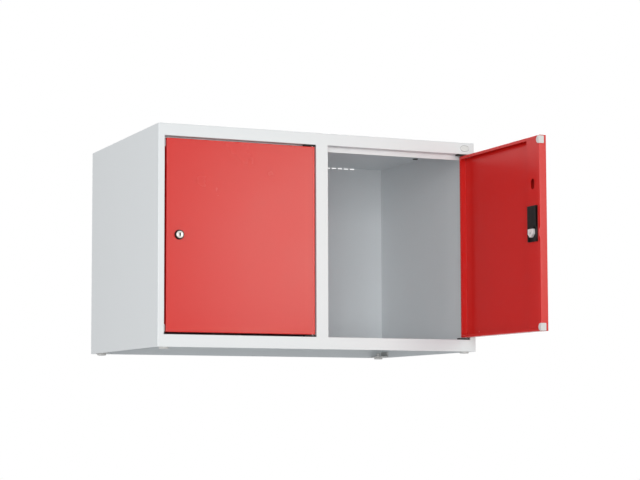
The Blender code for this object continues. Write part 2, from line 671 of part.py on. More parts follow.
def make_lock_core(hand, lock):
    """Make the turning lock pieces: plug with key slot, cam and cam nut."""
    face = BARREL_FACE + FIT
    profile = (
        (0, face),
        (PLUG_CORE_RADIUS, face),
        (PLUG_CORE_RADIUS, -BARREL_END),
        (STUB_RADIUS, -BARREL_END),
        (STUB_RADIUS, -HUB_END),
        (0, -HUB_END),
    )
    plug = turned(f"{hand}_lock_plug", profile, (0, 0, 0), lock, "nickel", True)
    low = (-KEY_SLOT_WIDTH / 2, -face - OVERCUT, -KEY_SLOT_HEIGHT / 2)
    high = (KEY_SLOT_WIDTH / 2, KEY_SLOT_DEPTH - face, KEY_SLOT_HEIGHT / 2)
    cut(plug, block(f"{hand}_key_slot", low, high, lock))

    bore = STUB_RADIUS + FIT
    name = f"{hand}_lock_cam_nut"
    nut = hexagon(name, CAM_NUT_FLATS, CAM_NUT_FACE, CAM_NUT_LENGTH, lock, "zinc_steel")
    bore_out(nut, "bore", bore, CAM_NUT_FACE - OVERCUT, HUB_END + OVERCUT, lock)

    low = (-HUB_WIDTH / 2, HUB_FACE, -HUB_BELOW)
    high = (HUB_WIDTH / 2, HUB_END, HUB_ABOVE)
    shape, middle = box_shape(low, high)
    bevel(shape, edges_along(shape, "Y", "top"), HUB_UPPER_CUT, 1)
    bevel(shape, edges_along(shape, "Y", "under"), HUB_LOWER_CUT, 1)
    cam = place(f"{hand}_lock_cam", shape, middle, lock, "nickel")
    low = (-CAM_WIDTH / 2, CAM_FACE, -CAM_WIDTH / 2)
    high = (CAM_WIDTH / 2, CAM_FACE + CAM_THICKNESS, CAM_REACH)
    join(cam, block(f"{hand}_cam_tongue", low, high, lock, None, "Y", CAM_WIDTH / 2 * ROUND_END))
    bore_out(cam, "bore", bore, HUB_FACE - OVERCUT, HUB_END + OVERCUT, lock)
    seat = CAM_NUT_FLATS / math.sqrt(3) + 2 * FIT
    bore_out(cam, "nut_seat", seat, CAM_NUT_FACE - FIT, HUB_END + OVERCUT, lock)


def make_door(hand, frame_x, turn, cabinet):
    """Make one door with its hinges and lock, on an axis beside the frame edge at frame_x."""
    pin_x = frame_x - PIN_TO_FRAME
    bush_x = frame_x - BUSH_LENGTH / 2 - FIT
    axis = empty(f"{hand}_door_axis", (pin_x, PIN_SETBACK, 0), cabinet, turn)
    make_door_panel(hand, axis)
    make_stiffener(hand, axis)
    for place_name, door_level, rail_level, up, inset in (
        ("upper", DOOR_HIGH, OPENING_HIGH, 1, BUFFER_UPPER_INSET),
        ("lower", DOOR_LOW, OPENING_LOW, -1, BUFFER_LOWER_INSET),
    ):
        make_hinge_pin(f"{hand}_{place_name}_hinge_pin", door_level, up, axis)
        make_bush(f"{hand}_{place_name}_hinge_bush", bush_x, pin_x, rail_level, up, cabinet)
        make_buffer(f"{hand}_{place_name}_buffer", door_level, up, inset, axis)
    lock = empty(f"{hand}_lock_axis", (LOCK_X, DOOR_FRONT, LOCK_HEIGHT), axis)
    make_lock_housing(hand, lock)
    make_lock_core(hand, lock)


def main():
    """Clear the scene and build the cabinet."""
    for item in list(bpy.data.objects):
        bpy.data.objects.remove(item, do_unlink=True)
    cabinet = empty("cabinet", (0, -ORIGIN_Y, FOOT_HEIGHT))
    make_panels(cabinet)
    make_front_frame(cabinet)
    make_feet(cabinet)
    make_door("left", -POST_WIDTH / 2, 0.0, cabinet)
    make_door("right", HALF_WIDTH - STILE_WIDTH, RIGHT_DOOR_OPEN, cabinet)


main()
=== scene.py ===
"""Finished surfaces of a locker top cabinet with two doors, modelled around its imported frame.

Lengths are in metres: X runs to the right, Y to the back and Z up. Each operator models one piece, or a
group of like pieces, in place. The pieces of a door are modelled on the shut left door, and a copy of each
is turned about the hinge onto the open right door.
"""

import json
import math
from typing import NamedTuple

import bmesh
import bpy
from mathutils import Matrix, Vector


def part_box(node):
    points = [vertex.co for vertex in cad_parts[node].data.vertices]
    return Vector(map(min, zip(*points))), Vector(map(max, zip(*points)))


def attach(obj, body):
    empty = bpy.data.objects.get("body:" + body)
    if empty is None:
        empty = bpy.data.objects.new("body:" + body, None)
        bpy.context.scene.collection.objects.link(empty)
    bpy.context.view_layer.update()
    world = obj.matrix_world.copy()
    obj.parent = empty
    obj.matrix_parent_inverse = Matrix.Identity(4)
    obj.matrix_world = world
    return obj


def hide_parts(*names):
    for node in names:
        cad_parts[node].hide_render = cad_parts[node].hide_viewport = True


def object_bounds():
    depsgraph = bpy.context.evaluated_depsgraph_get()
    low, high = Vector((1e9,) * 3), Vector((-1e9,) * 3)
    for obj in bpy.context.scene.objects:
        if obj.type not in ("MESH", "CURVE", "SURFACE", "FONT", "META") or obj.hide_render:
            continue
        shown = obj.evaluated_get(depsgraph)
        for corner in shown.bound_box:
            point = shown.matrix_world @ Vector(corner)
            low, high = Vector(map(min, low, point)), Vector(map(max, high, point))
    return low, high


bl_info = {
    "name": "Locker Top Cabinet Finish",
    "version": (1, 0, 0),
    "blender": (4, 5, 0),
    "location": "3D View > Sidebar > Cabinet",
    "description": "Models and paints the finished surfaces of a two-door locker top cabinet",
    "category": "Object",
}

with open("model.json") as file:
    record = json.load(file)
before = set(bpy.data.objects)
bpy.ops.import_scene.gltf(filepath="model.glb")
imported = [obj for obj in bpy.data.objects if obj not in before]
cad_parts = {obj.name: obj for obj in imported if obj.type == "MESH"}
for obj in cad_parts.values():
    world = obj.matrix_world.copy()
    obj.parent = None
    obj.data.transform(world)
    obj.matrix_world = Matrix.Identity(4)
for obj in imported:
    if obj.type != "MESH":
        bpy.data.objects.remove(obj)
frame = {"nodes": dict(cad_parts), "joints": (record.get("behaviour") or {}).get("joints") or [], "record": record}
CAD_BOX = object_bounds()


def low(node):
    """Return the lowest corner of a frame node."""
    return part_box(node)[0]


def high(node):
    """Return the highest corner of a frame node."""
    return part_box(node)[1]


def middle(node):
    """Return the middle of a frame node."""
    return (low(node) + high(node)) / 2


def radius_of(node):
    """Return the radius of a round frame node."""
    return (high(node).x - low(node).x) / 2


# Places read from the frame
BODY_LOW = low("left_side_panel")
BODY_HIGH = high("top_panel")
SHEET = BODY_HIGH.z - low("top_panel").z
FRONT = BODY_LOW.y
RETURN_BACK = high("bottom_rail").y
OPENING_LOW = high("bottom_rail").z
OPENING_HIGH = low("top_rail").z
OPENINGS = (
    (high("left_stile").x, low("centre_post").x),
    (high("centre_post").x, low("right_stile").x),
)
DOOR_LOW = low("left_door_panel")
DOOR_HIGH = high("left_door_panel")
DOOR_BACK = high("left_door_stiffener").y
JOINT_PLACES = {joint["name"]: Vector(joint["pos_m"]) for joint in frame["joints"]}
LOCK = JOINT_PLACES["left_lock_turn"]
LEFT_HINGE = JOINT_PLACES["left_door_hinge"]
RIGHT_HINGE = JOINT_PLACES["right_door_hinge"]
OPEN_ANGLE = math.radians(90)
DOOR_SWING = (
    Matrix.Translation(RIGHT_HINGE) @ Matrix.Rotation(OPEN_ANGLE, 4, "Z") @ Matrix.Translation(-LEFT_HINGE)
)

# Axes, and the directions upwards and out of a shut door's face
X, Y, Z = range(3)
UPWARD = Vector((0, 0, 1))
OUTWARD = Vector((0, -1, 0))

# How close two places have to be to count as one, and two points to be merged
SAME = 0.00002
MERGED = 0.000005

# Edges shorter than this are dissolved
SLIVER = 0.000004

# How far a cutting tool reaches past what it cuts
OVERCUT = 0.001

# Size of the plane that is merged to the first point of a turned outline
SEED = 0.001

# Least cosine between an axis and a direction that runs along it
STRAIGHT = 0.99

# Share of its half width that a round end takes, just short of where its two corners meet
ROUND_END = 0.98

# Edges sharper than the first angle are softened, and those sharper than the second are shaded sharp
SOFTENED_ANGLE = math.radians(35)
SHADED_ANGLE = math.radians(40)


def length(label, text, value):
    """Return a length property in metres."""
    return bpy.props.FloatProperty(name=label, description=text, default=value, unit="LENGTH", precision=5)


def colour(label, text, value):
    """Return a colour property."""
    return bpy.props.FloatVectorProperty(
        name=label, description=text, default=value, subtype="COLOR", size=3, min=0.0, max=1.0,
    )


def share(label, text, value, most=1.0):
    """Return a plain number from zero up."""
    return bpy.props.FloatProperty(name=label, description=text, default=value, min=0.0, max=most)


class CabinetSizes(bpy.types.PropertyGroup):
    """Sizes of the finished pieces."""

    outer_bend: length("Outer bend", "Radius of the folds along the outer edges of the body", 0.0018)
    opening_bend: length("Opening bend", "Radius of the folds around the door openings", 0.0012)
    door_bend: length("Door bend", "Radius of the folds around a door", 0.0015)
    door_lip: length("Door lip", "Width of the lip on the inner side of a door", 0.007)
    tab_height: length("Tab height", "Height of the tab beside the cam", 0.017)
    tab_corner: length("Tab corner", "Corner radius of that tab", 0.001)
    tab_inset: length("Tab inset", "How far that tab lies inside the door's free edge", 0.0002)
    pin_hole: length("Pin hole", "Radius of the holes that the hinge pins pass through", 0.0028)
    slot_length: length("Bush slot length", "Length of a hinge bush slot in a rail", 0.0266)
    slot_width: length("Bush slot width", "Width of a hinge bush slot in a rail", 0.0086)
    bush_corner: length("Bush corner", "Corner radius of a hinge bush's plate", 0.002)
    foot_stem: length("Foot stem", "Radius of the stem of a foot", 0.004)
    plug_rim: length("Plug rim", "How far a roof plug's head reaches past its shank", 0.0013)
    vent_width: length("Vent width", "Width of one vent notch", 0.013)
    vent_height: length("Vent height", "Height of one vent notch", 0.0026)
    vent_corner: length("Vent corner", "Corner radius of a vent notch", 0.0008)
    vent_pitch: length("Vent pitch", "Distance from one vent notch to the next", 0.0176)
    vent_count: bpy.props.IntProperty(
        name="Vent count", description="Vent notches behind each compartment", default=14, min=1,
    )
    hole_clearance: length("Hole clearance", "Room between a part and the hole that it sits in", 0.0003)
    channel_slot_length: length("Channel slot length", "Length of the slot above the lock", 0.023)
    channel_slot_width: length("Channel slot width", "Width of the slot above the lock", 0.0145)
    channel_slot_rise: length("Channel slot rise", "Height of that slot above the lock", 0.1105)
    hub_hole: length("Hub hole", "Radius of the hole that the cam's hub turns in", 0.0138)
    hub_neck: length("Hub neck", "Radius of the hub's neck in the door's channel", 0.0075)
    hub_rise: length("Hub rise", "Height of the cam's hub above the lock axis", 0.0095)
    hub_upper_cut: length("Hub upper cut", "Cut of the hub's upper corners", 0.0008)
    hub_lower_cut: length("Hub lower cut", "Cut of the hub's lower corners", 0.007)
    hub_edge: length("Hub edge", "Edge radius of the cam's hub", 0.0003)
    tongue_width: length("Tongue width", "Width of the cam's tongue", 0.016)
    tongue_thickness: length("Tongue thickness", "Thickness of the cam's tongue", 0.0015)
    tongue_depth: length("Tongue depth", "Depth of the tongue behind the door's face", 0.0214)
    stub_radius: length("Stub radius", "Radius of the threaded stub that carries the cam", 0.0025)
    fine_edge: length("Fine edge", "Edge radius of tongues, cam nuts and dust shutters", 0.0002)
    case_wall: length("Case wall", "Wall of the lock case", 0.0012)
    case_bend: length("Case bend", "Outer edge radius of the lock case", 0.0014)
    case_leg_gap: length("Case leg gap", "Gap between the legs of the lock case", 0.021)
    ring_taper: length("Ring taper", "How much a lock's black ring narrows towards its tip", 0.0012)
    barrel_rim: length("Barrel rim", "How far the lock's face reaches past its barrel", 0.0009)
    barrel_gap: length("Barrel gap", "Gap between that rim and the door", 0.0003)
    key_slot_width: length("Key slot width", "Width of the key slot", 0.0038)
    key_slot_height: length("Key slot height", "Height of the key slot", 0.0082)
    key_slot_depth: length("Key slot depth", "Depth of the key slot", 0.010)
    shutter_depth: length("Shutter depth", "Depth of the dust shutter in the key slot", 0.0008)
    shutter_gap: length("Shutter gap", "Room around the dust shutter in the key slot", 0.0001)
    cap_wall: length("Cap wall", "Wall of a corner cap on the free edge", 0.0012)
    cap_corner: length("Cap corner", "Corner radius of a corner cap towards the hinge", 0.0083)
    cap_front_corner: length("Cap front corner", "Corner radius of a cap towards the door's face", 0.002)
    cap_edge: length("Cap edge", "Edge radius of a corner cap", 0.0005)
    badge_rim: length("Badge rim", "Width of the raised rim of the blank badge", 0.0009)
    badge_field: length("Badge field", "Depth of the badge's field below its rim", 0.0004)
    plastic_edge: length("Plastic edge", "Edge radius of the hinge bushes", 0.0004)


class CabinetColours(bpy.types.PropertyGroup):
    """Colours of the finishes."""

    grey_paint: colour("Grey paint", "Powder coat of the body", (0.745, 0.78, 0.80))
    red_paint: colour("Red paint", "Powder coat of the doors", (0.62, 0.0125, 0.0095))
    black_plastic: colour("Black plastic", "Bushes, plugs, lock rings and covers", (0.010, 0.0095, 0.009))
    # Near black and matt on the dust shutters, to paint the shade deep in the key slots
    matt_black: colour("Matt black", "Dust shutters in the key slots", (0.004, 0.004, 0.004))
    white_plastic: colour("White plastic", "Corner caps and feet", (0.67, 0.67, 0.66))
    nickel: colour("Nickel", "Polished lock faces and key plugs", (0.56, 0.55, 0.53))
    cast_nickel: colour("Cast nickel", "Die-cast cams behind the locks", (0.80, 0.795, 0.785))
    # Dark steel on the cam tongues, darkened further to paint the shade above the hubs
    dark_steel: colour("Dark steel", "Tongues of the cams", (0.045, 0.045, 0.045))
    satin_nickel: colour("Satin nickel", "Blank badge", (0.40, 0.405, 0.41))
    zinc_steel: colour("Zinc steel", "Pins, nuts and brackets", (0.58, 0.58, 0.57))
    floor: colour("Floor", "Pale studio floor", (0.86, 0.86, 0.86))


class CabinetStage(bpy.types.PropertyGroup):
    """Camera, floor and light."""

    lens: bpy.props.FloatProperty(
        name="Lens", description="Focal length on a 36 mm sensor", default=98.51, subtype="DISTANCE_CAMERA",
    )
    camera_place: bpy.props.FloatVectorProperty(
        name="Camera place", description="Where the camera stands", default=(-1.6670, -3.7280, -0.1508),
        subtype="TRANSLATION", size=3,
    )
    camera_yaw: bpy.props.FloatProperty(
        name="Camera yaw", description="Turn of the view to the right of straight back",
        default=math.radians(22.355), subtype="ANGLE",
    )
    camera_pitch: bpy.props.FloatProperty(
        name="Camera pitch", description="Tilt of the view upwards", default=math.radians(4.720),
        subtype="ANGLE",
    )
    shift_x: share("Shift across", "Shift of the lens to the right", 0.0992)
    shift_y: share("Shift up", "Shift of the lens upwards", 0.0506)
    floor_white: share("Floor white", "How much of the floor shows the camera plain white paper", 0.5)
    fill_level: share("Fill level", "Level of the even light from all around", 0.32, 5.0)
    key_power: share("Key power", "Watts of the soft box at the left", 41.0, 1000.0)
    front_power: share("Front power", "Watts of the soft box at the front", 67.0, 1000.0)
    upper_power: share("Upper power", "Watts of the soft box above that one", 20.0, 1000.0)
    sheen_power: share("Sheen power", "Watts of the soft box that shows in the paint", 19.0, 1000.0)
    bounce_power: share("Bounce power", "Watts of the light thrown up from the floor", 5.0, 1000.0)
    rear_power: share("Rear power", "Watts of the soft box behind the right corner", 100.0, 1000.0)


def sizes():
    """Return the sizes that the user has set."""
    return bpy.context.scene.cabinet_sizes


def colours():
    """Return the colours that the user has set."""
    return bpy.context.scene.cabinet_colours


def stage_settings():
    """Return the camera, floor and light settings."""
    return bpy.context.scene.cabinet_stage


# Starting pieces and selecting on them


def activate(piece):
    """Leave edit mode and make one piece, or none, the only selected one."""
    if bpy.context.object is not None and bpy.context.object.mode != "OBJECT":
        bpy.ops.object.mode_set(mode="OBJECT")
    bpy.ops.object.select_all(action="DESELECT")
    if piece is not None:
        piece.select_set(True)
        bpy.context.view_layer.objects.active = piece


def settle(piece, name):
    """Put the active piece's place and turn into its mesh, and name both."""
    bpy.ops.object.transform_apply(location=True, rotation=True, scale=True)
    piece.name = name
    piece.data.name = name
    return piece


def start_box(name, first, second):
    """Add a cube primitive that fills the box between two opposite corners."""
    activate(None)
    first = Vector(first)
    second = Vector(second)
    extent = [abs(side) for side in second - first]
    bpy.ops.mesh.primitive_cube_add(size=1.0, location=(first + second) / 2, scale=extent)
    return settle(bpy.context.active_object, name)


def open_all(piece):
    """Open a piece in edit mode with all of it selected."""
    activate(piece)
    bpy.ops.object.mode_set(mode="EDIT")
    bpy.ops.mesh.select_all(action="SELECT")


def pick(piece, kind, rule):
    """Open a piece in edit mode and select the faces or edges whose place and direction pass a rule."""
    activate(piece)
    bpy.ops.object.mode_set(mode="EDIT")
    bpy.ops.mesh.select_mode(type=kind)
    bpy.ops.mesh.select_all(action="DESELECT")
    shape = bmesh.from_edit_mesh(piece.data)
    if kind == "FACE":
        taken = [face for face in shape.faces if rule(face.calc_center_median(), face.normal)]
    else:
        taken = [edge for edge in shape.edges if rule(*middle_and_run(edge))]
    if not taken:
        raise RuntimeError(f"{piece.name}: the rule takes no {kind.lower()}")
    for item in taken:
        item.select_set(True)
    shape.select_flush_mode()
    bmesh.update_edit_mesh(piece.data)


def middle_and_run(edge):
    """Return the middle of an edge and the direction in which it runs."""
    first = edge.verts[0].co
    second = edge.verts[1].co
    return (first + second) / 2, (second - first).normalized()


def near(first, second):
    """Say whether two lengths are the same."""
    return abs(first - second) < SAME


def along(direction, axis):
    """Say whether a direction runs along an axis."""
    return abs(direction[axis]) > STRAIGHT


def edges(axis, **places):
    """Return a rule that takes the edges along an axis, at the places given for x, y or z."""
    def rule(place, direction):
        return along(direction, axis) and all(near(getattr(place, key), at) for key, at in places.items())
    return rule


def faces(axis, side):
    """Return a rule that takes the faces on the positive, 1, or negative, -1, side of an axis."""
    return lambda place, facing: facing[axis] * side > STRAIGHT


# Shaping pieces


def drop_faces(piece, rule):
    """Delete the faces that a rule takes."""
    pick(piece, "FACE", rule)
    bpy.ops.mesh.delete(type="FACE")
    activate(piece)


def bevel_edges(piece, rule, radius, steps):
    """Round, or with one step cut, the edges that a rule takes."""
    pick(piece, "EDGE", rule)
    bpy.ops.mesh.bevel(offset=radius, offset_type="OFFSET", segments=steps, profile=0.5, affect="EDGES")
    activate(piece)


def modify(piece, kind, **values):
    """Add a modifier with the values given, and apply it."""
    change = piece.modifiers.new(kind.lower(), kind)
    for label, value in values.items():
        setattr(change, label, value)
    activate(piece)
    bpy.ops.object.modifier_apply(modifier=change.name)


def give_wall(piece, wall):
    """Turn an open surface into a sheet with its wall on the inner side."""
    modify(piece, "SOLIDIFY", thickness=wall, offset=-1.0, use_even_offset=True)


def soften(piece, radius, steps=2):
    """Round every sharp edge of a piece a little."""
    modify(
        piece, "BEVEL", width=radius, segments=steps, limit_method="ANGLE", angle_limit=SOFTENED_ANGLE,
        use_clamp_overlap=True,
    )


def carve(piece, tool, operation="DIFFERENCE"):
    """Cut a tool out of a piece, or join it on with UNION, and delete the tool."""
    modify(piece, "BOOLEAN", operation=operation, object=tool)
    bpy.data.objects.remove(tool, do_unlink=True)


def drop_slivers(piece):
    """Dissolve the needle faces that cutting and rounding leave behind."""
    open_all(piece)
    bpy.ops.mesh.dissolve_degenerate(threshold=SLIVER)
    activate(piece)


def join_all(pieces):
    """Join several pieces into the first one."""
    activate(pieces[0])
    for piece in pieces:
        piece.select_set(True)
    bpy.ops.object.join()
    return pieces[0]


def stadium(name, first, second, axis):
    """Add a block between two opposite corners that has round ends, seen along one axis."""
    first = Vector(first)
    second = Vector(second)
    piece = start_box(name, first, second)
    half = min(abs(second[other] - first[other]) for other in range(3) if other != axis) / 2
    bevel_edges(piece, edges(axis), half * ROUND_END, steps=8)
    return piece


def lathe(name, profile, centre, axis, steps=48):
    """Turn an outline of (radius, height) points, drawn by extruding one vertex, about an axis."""
    side = Vector((1, 0, 0))
    points = [centre + side * radius + axis * height for radius, height in profile]
    activate(None)
    bpy.ops.mesh.primitive_plane_add(size=SEED, location=points[0])
    piece = bpy.context.active_object
    open_all(piece)
    bpy.ops.mesh.select_mode(type="VERT")
    bpy.ops.mesh.merge(type="CENTER")
    for first, second in zip(points, points[1:]):
        bpy.ops.mesh.extrude_region_move(TRANSFORM_OT_translate={"value": second - first})
    bpy.ops.mesh.select_all(action="SELECT")
    bpy.ops.mesh.spin(steps=steps, angle=math.tau, center=centre, axis=axis)
    bpy.ops.mesh.select_all(action="SELECT")
    bpy.ops.mesh.remove_doubles(threshold=MERGED)
    bpy.ops.mesh.normals_make_consistent(inside=False)
    activate(piece)
    return settle(piece, name)


def rod(name, radius, centre, axis, start, end, steps=48):
    """Add a plain round tool along an axis, between two heights."""
    return lathe(name, ((0, end), (radius, end), (radius, start), (0, start)), centre, axis, steps)


def drill(piece, radius, first, last, steps=48):
    """Drill a hole along the lock axis, from one place on Y to another."""
    carve(piece, rod("drill", radius, LOCK, -OUTWARD, first - LOCK.y, last - LOCK.y, steps))


def corner(radius, height, steps):
    """Return the outline points that take off a corner, from steps inwards and down from it."""
    return [(radius - inwards, height - down) for inwards, down in steps]


def fit(piece, body, slot, *nodes, finish=None):
    """Finish a piece: shade and paint it, let it ride on its body and stand for its frame nodes."""
    activate(piece)
    bpy.ops.object.shade_smooth_by_angle(angle=SHADED_ANGLE)
    modify(piece, "WEIGHTED_NORMAL", keep_sharp=True)
    piece.data.materials.clear()
    piece.data.materials.append(finish_material(finish or slot))
    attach(piece, body)
    if nodes:
        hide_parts(*nodes)


def fit_pair(piece, label, body, slot, *nodes, finish=None):
    """Fit a piece of the left door, and a copy with its own mesh, turned onto the open right door."""
    activate(piece)
    bpy.ops.object.duplicate()
    twin = bpy.context.active_object
    twin.matrix_world = DOOR_SWING @ twin.matrix_world
    settle(twin, f"right_{label}")
    piece.name = f"left_{label}"
    piece.data.name = piece.name
    for hand, item in (("left", piece), ("right", twin)):
        fit(item, f"{hand}_{body}", slot, *(f"{hand}_{node}" for node in nodes), finish=finish)


# Shader nodes


def give(tree, node, sockets):
    """Give sockets of a node plain values, or link them to other sockets."""
    for label, value in sockets.items():
        if isinstance(value, bpy.types.NodeSocket):
            tree.links.new(value, node.inputs[label])
        else:
            node.inputs[label].default_value = value


def add_node(tree, kind, sockets=None, **values):
    """Add a node, set its own properties and give its sockets values or links."""
    node = tree.nodes.new(kind)
    for label, value in values.items():
        setattr(node, label, value)
    give(tree, node, sockets or {})
    return node


def calculate(tree, operation, first, second):
    """Add a math node on sockets or plain numbers, and return its value socket."""
    return add_node(tree, "ShaderNodeMath", {0: first, 1: second}, operation=operation).outputs["Value"]


def mix(tree, factor, first, second):
    """Add a mix of two shaders, where a factor of 1 shows the second, and return its socket."""
    return add_node(tree, "ShaderNodeMixShader", {"Fac": factor, 1: first, 2: second}).outputs["Shader"]


def shared_group(name, inputs, outputs, wire):
    """Return a node group with named sockets, made on first use by a function that wires its inside."""
    tree = bpy.data.node_groups.get(name)
    if tree is not None:
        return tree
    tree = bpy.data.node_groups.new(name, "ShaderNodeTree")
    for direction, sockets in (("INPUT", inputs), ("OUTPUT", outputs)):
        for label, kind in sockets.items():
            tree.interface.new_socket(label, in_out=direction, socket_type=f"NodeSocket{kind}")
    given = add_node(tree, "NodeGroupInput").outputs
    give(tree, add_node(tree, "NodeGroupOutput"), wire(tree, given))
    return tree


# Sockets of the group that varies a surface, and their kinds
SURFACE_INPUTS = {
    "Colour": "Color", "Mottle": "Float", "Mottle Scale": "Float", "Grain Scale": "Float",
    "Grain Tint": "Float", "Smoothest": "Float", "Roughest": "Float", "Stretch": "Vector",
}
SURFACE_OUTPUTS = {"Colour": "Color", "Roughness": "Float", "Height": "Float"}

# Noise: detail of the mottling and of the grain, roughness of both, and the range of most of its values
MOTTLE_DETAIL = 4.0
GRAIN_DETAIL = 2.0
NOISE_ROUGHNESS = 0.55
NOISE_LOW = 0.3
NOISE_MIDDLE = 0.5
NOISE_HIGH = 0.7

# How fast the edge mask rises as the surface turns away, and its samples
EDGE_GAIN = 3.0
EDGE_SAMPLES = 4


def noise(tree, place, scale, detail):
    """Add a noise texture and return its value socket."""
    sockets = {"Vector": place, "Scale": scale, "Detail": detail, "Roughness": NOISE_ROUGHNESS}
    return add_node(tree, "ShaderNodeTexNoise", sockets).outputs["Fac"]


def wire_surface(tree, given):
    """Wire a finish that varies: broad mottling, fine grain and uneven gloss."""
    factors = {0: add_node(tree, "ShaderNodeTexCoord").outputs["Object"], 1: given["Stretch"]}
    place = add_node(tree, "ShaderNodeVectorMath", factors, operation="MULTIPLY").outputs["Vector"]
    mottle = noise(tree, place, given["Mottle Scale"], MOTTLE_DETAIL)
    grain = noise(tree, place, given["Grain Scale"], GRAIN_DETAIL)
    shifts = [
        calculate(tree, "MULTIPLY", calculate(tree, "SUBTRACT", factor, NOISE_MIDDLE), given[amount])
        for factor, amount in ((mottle, "Mottle"), (grain, "Grain Tint"))
    ]
    value = calculate(tree, "ADD", calculate(tree, "ADD", *shifts), 1.0)
    tint = add_node(tree, "ShaderNodeHueSaturation", {"Value": value, "Color": given["Colour"]})
    gloss = add_node(tree, "ShaderNodeMapRange", {
        "Value": mottle, "From Min": NOISE_LOW, "From Max": NOISE_HIGH,
        "To Min": given["Smoothest"], "To Max": given["Roughest"],
    })
    return {"Colour": tint.outputs["Color"], "Roughness": gloss.outputs["Result"], "Height": grain}


def wire_edge(tree, given):
    """Wire a mask of folded and moulded edges, where a coat is thinnest."""
    rounded = add_node(tree, "ShaderNodeBevel", {"Radius": given["Radius"]}, samples=EDGE_SAMPLES)
    normals = {0: rounded.outputs["Normal"], 1: add_node(tree, "ShaderNodeNewGeometry").outputs["Normal"]}
    match = add_node(tree, "ShaderNodeVectorMath", normals, operation="DOT_PRODUCT")
    away = calculate(tree, "SUBTRACT", 1.0, match.outputs["Value"])
    clamp = add_node(tree, "ShaderNodeClamp", {"Value": calculate(tree, "MULTIPLY", away, EDGE_GAIN)})
    return {"Mask": clamp.outputs["Result"]}


# Finishes


class Finish(NamedTuple):
    """How a finish varies over its surface. Scales are per metre."""

    mottle: float
    mottle_scale: float
    grain_scale: float
    grain_tint: float
    smoothest: float
    roughest: float
    bump: float
    edge_lift: float
    edge_radius: float
    specular: float = 0.5
    metallic: float = 0.0
    stretch: tuple = (1.0, 1.0, 1.0)


# Grain brushed along X and Y on the lock faces, and along X on the badge
BRUSHED_FACE = (0.25, 0.25, 1.0)
BRUSHED_PLATE = (0.2, 1.0, 1.0)

FINISHES = {
    "grey_paint": Finish(0.03, 7.0, 700.0, 0.02, 0.33, 0.36, 0.00004, 0.05, 0.0012),
    "red_paint": Finish(0.05, 7.0, 700.0, 0.03, 0.25, 0.275, 0.00004, 0.12, 0.0012, specular=0.4),
    "black_plastic": Finish(0.15, 60.0, 1500.0, 0.3, 0.42, 0.58, 0.00003, 0.35, 0.0006, specular=0.24),
    # Near black with little gloss on the dust shutters: paints the shade deep in the key slots
    "matt_black": Finish(0.1, 60.0, 1500.0, 0.2, 0.7, 0.85, 0.00003, 0.2, 0.0004, specular=0.08),
    "white_plastic": Finish(0.04, 60.0, 1500.0, 0.03, 0.4, 0.55, 0.00002, 0.04, 0.0006),
    "nickel": Finish(
        0.1, 120.0, 900.0, 0.08, 0.26, 0.36, 0.00001, 0.1, 0.0004, metallic=1.0, stretch=BRUSHED_FACE,
    ),
    "cast_nickel": Finish(0.12, 160.0, 1100.0, 0.1, 0.42, 0.52, 0.00002, 0.15, 0.0006, metallic=0.35),
    # Dark steel, darkened further to paint the shade above the cam hubs
    "dark_steel": Finish(
        0.2, 120.0, 900.0, 0.15, 0.4, 0.55, 0.00001, 0.3, 0.0004, specular=0.4, metallic=0.6,
    ),
    "satin_nickel": Finish(
        0.1, 90.0, 900.0, 0.1, 0.4, 0.48, 0.00001, 0.2, 0.0005, metallic=1.0, stretch=BRUSHED_PLATE,
    ),
    "zinc_steel": Finish(0.25, 140.0, 800.0, 0.12, 0.32, 0.5, 0.00001, 0.1, 0.0004, metallic=1.0),
}


def finish_material(finish):
    """Return the material of one finish, made on first use."""
    name = f"{finish}_finish"
    material = bpy.data.materials.get(name)
    if material is not None:
        return material
    look = FINISHES[finish]
    material = bpy.data.materials.new(name)
    material.use_nodes = True
    tree = material.node_tree
    variation = shared_group("surface_variation", SURFACE_INPUTS, SURFACE_OUTPUTS, wire_surface)
    surface = add_node(tree, "ShaderNodeGroup", {
        "Colour": (*getattr(colours(), finish), 1.0), "Stretch": look.stretch, "Mottle": look.mottle,
        "Mottle Scale": look.mottle_scale, "Grain Scale": look.grain_scale, "Grain Tint": look.grain_tint,
        "Smoothest": look.smoothest, "Roughest": look.roughest,
    }, node_tree=variation)
    mask = shared_group("edge_mask", {"Radius": "Float"}, {"Mask": "Float"}, wire_edge)
    edge = add_node(tree, "ShaderNodeGroup", {"Radius": look.edge_radius}, node_tree=mask)
    lift = calculate(tree, "MULTIPLY", edge.outputs["Mask"], look.edge_lift)
    worn = add_node(tree, "ShaderNodeHueSaturation", {
        "Value": calculate(tree, "ADD", lift, 1.0), "Color": surface.outputs["Colour"],
    })
    bump = add_node(tree, "ShaderNodeBump", {
        "Strength": 1.0, "Distance": look.bump, "Height": surface.outputs["Height"],
    })
    give(tree, tree.nodes["Principled BSDF"], {
        "Metallic": look.metallic, "Specular IOR Level": look.specular, "Base Color": worn.outputs["Color"],
        "Roughness": surface.outputs["Roughness"], "Normal": bump.outputs["Normal"],
    })
    return material


# Body


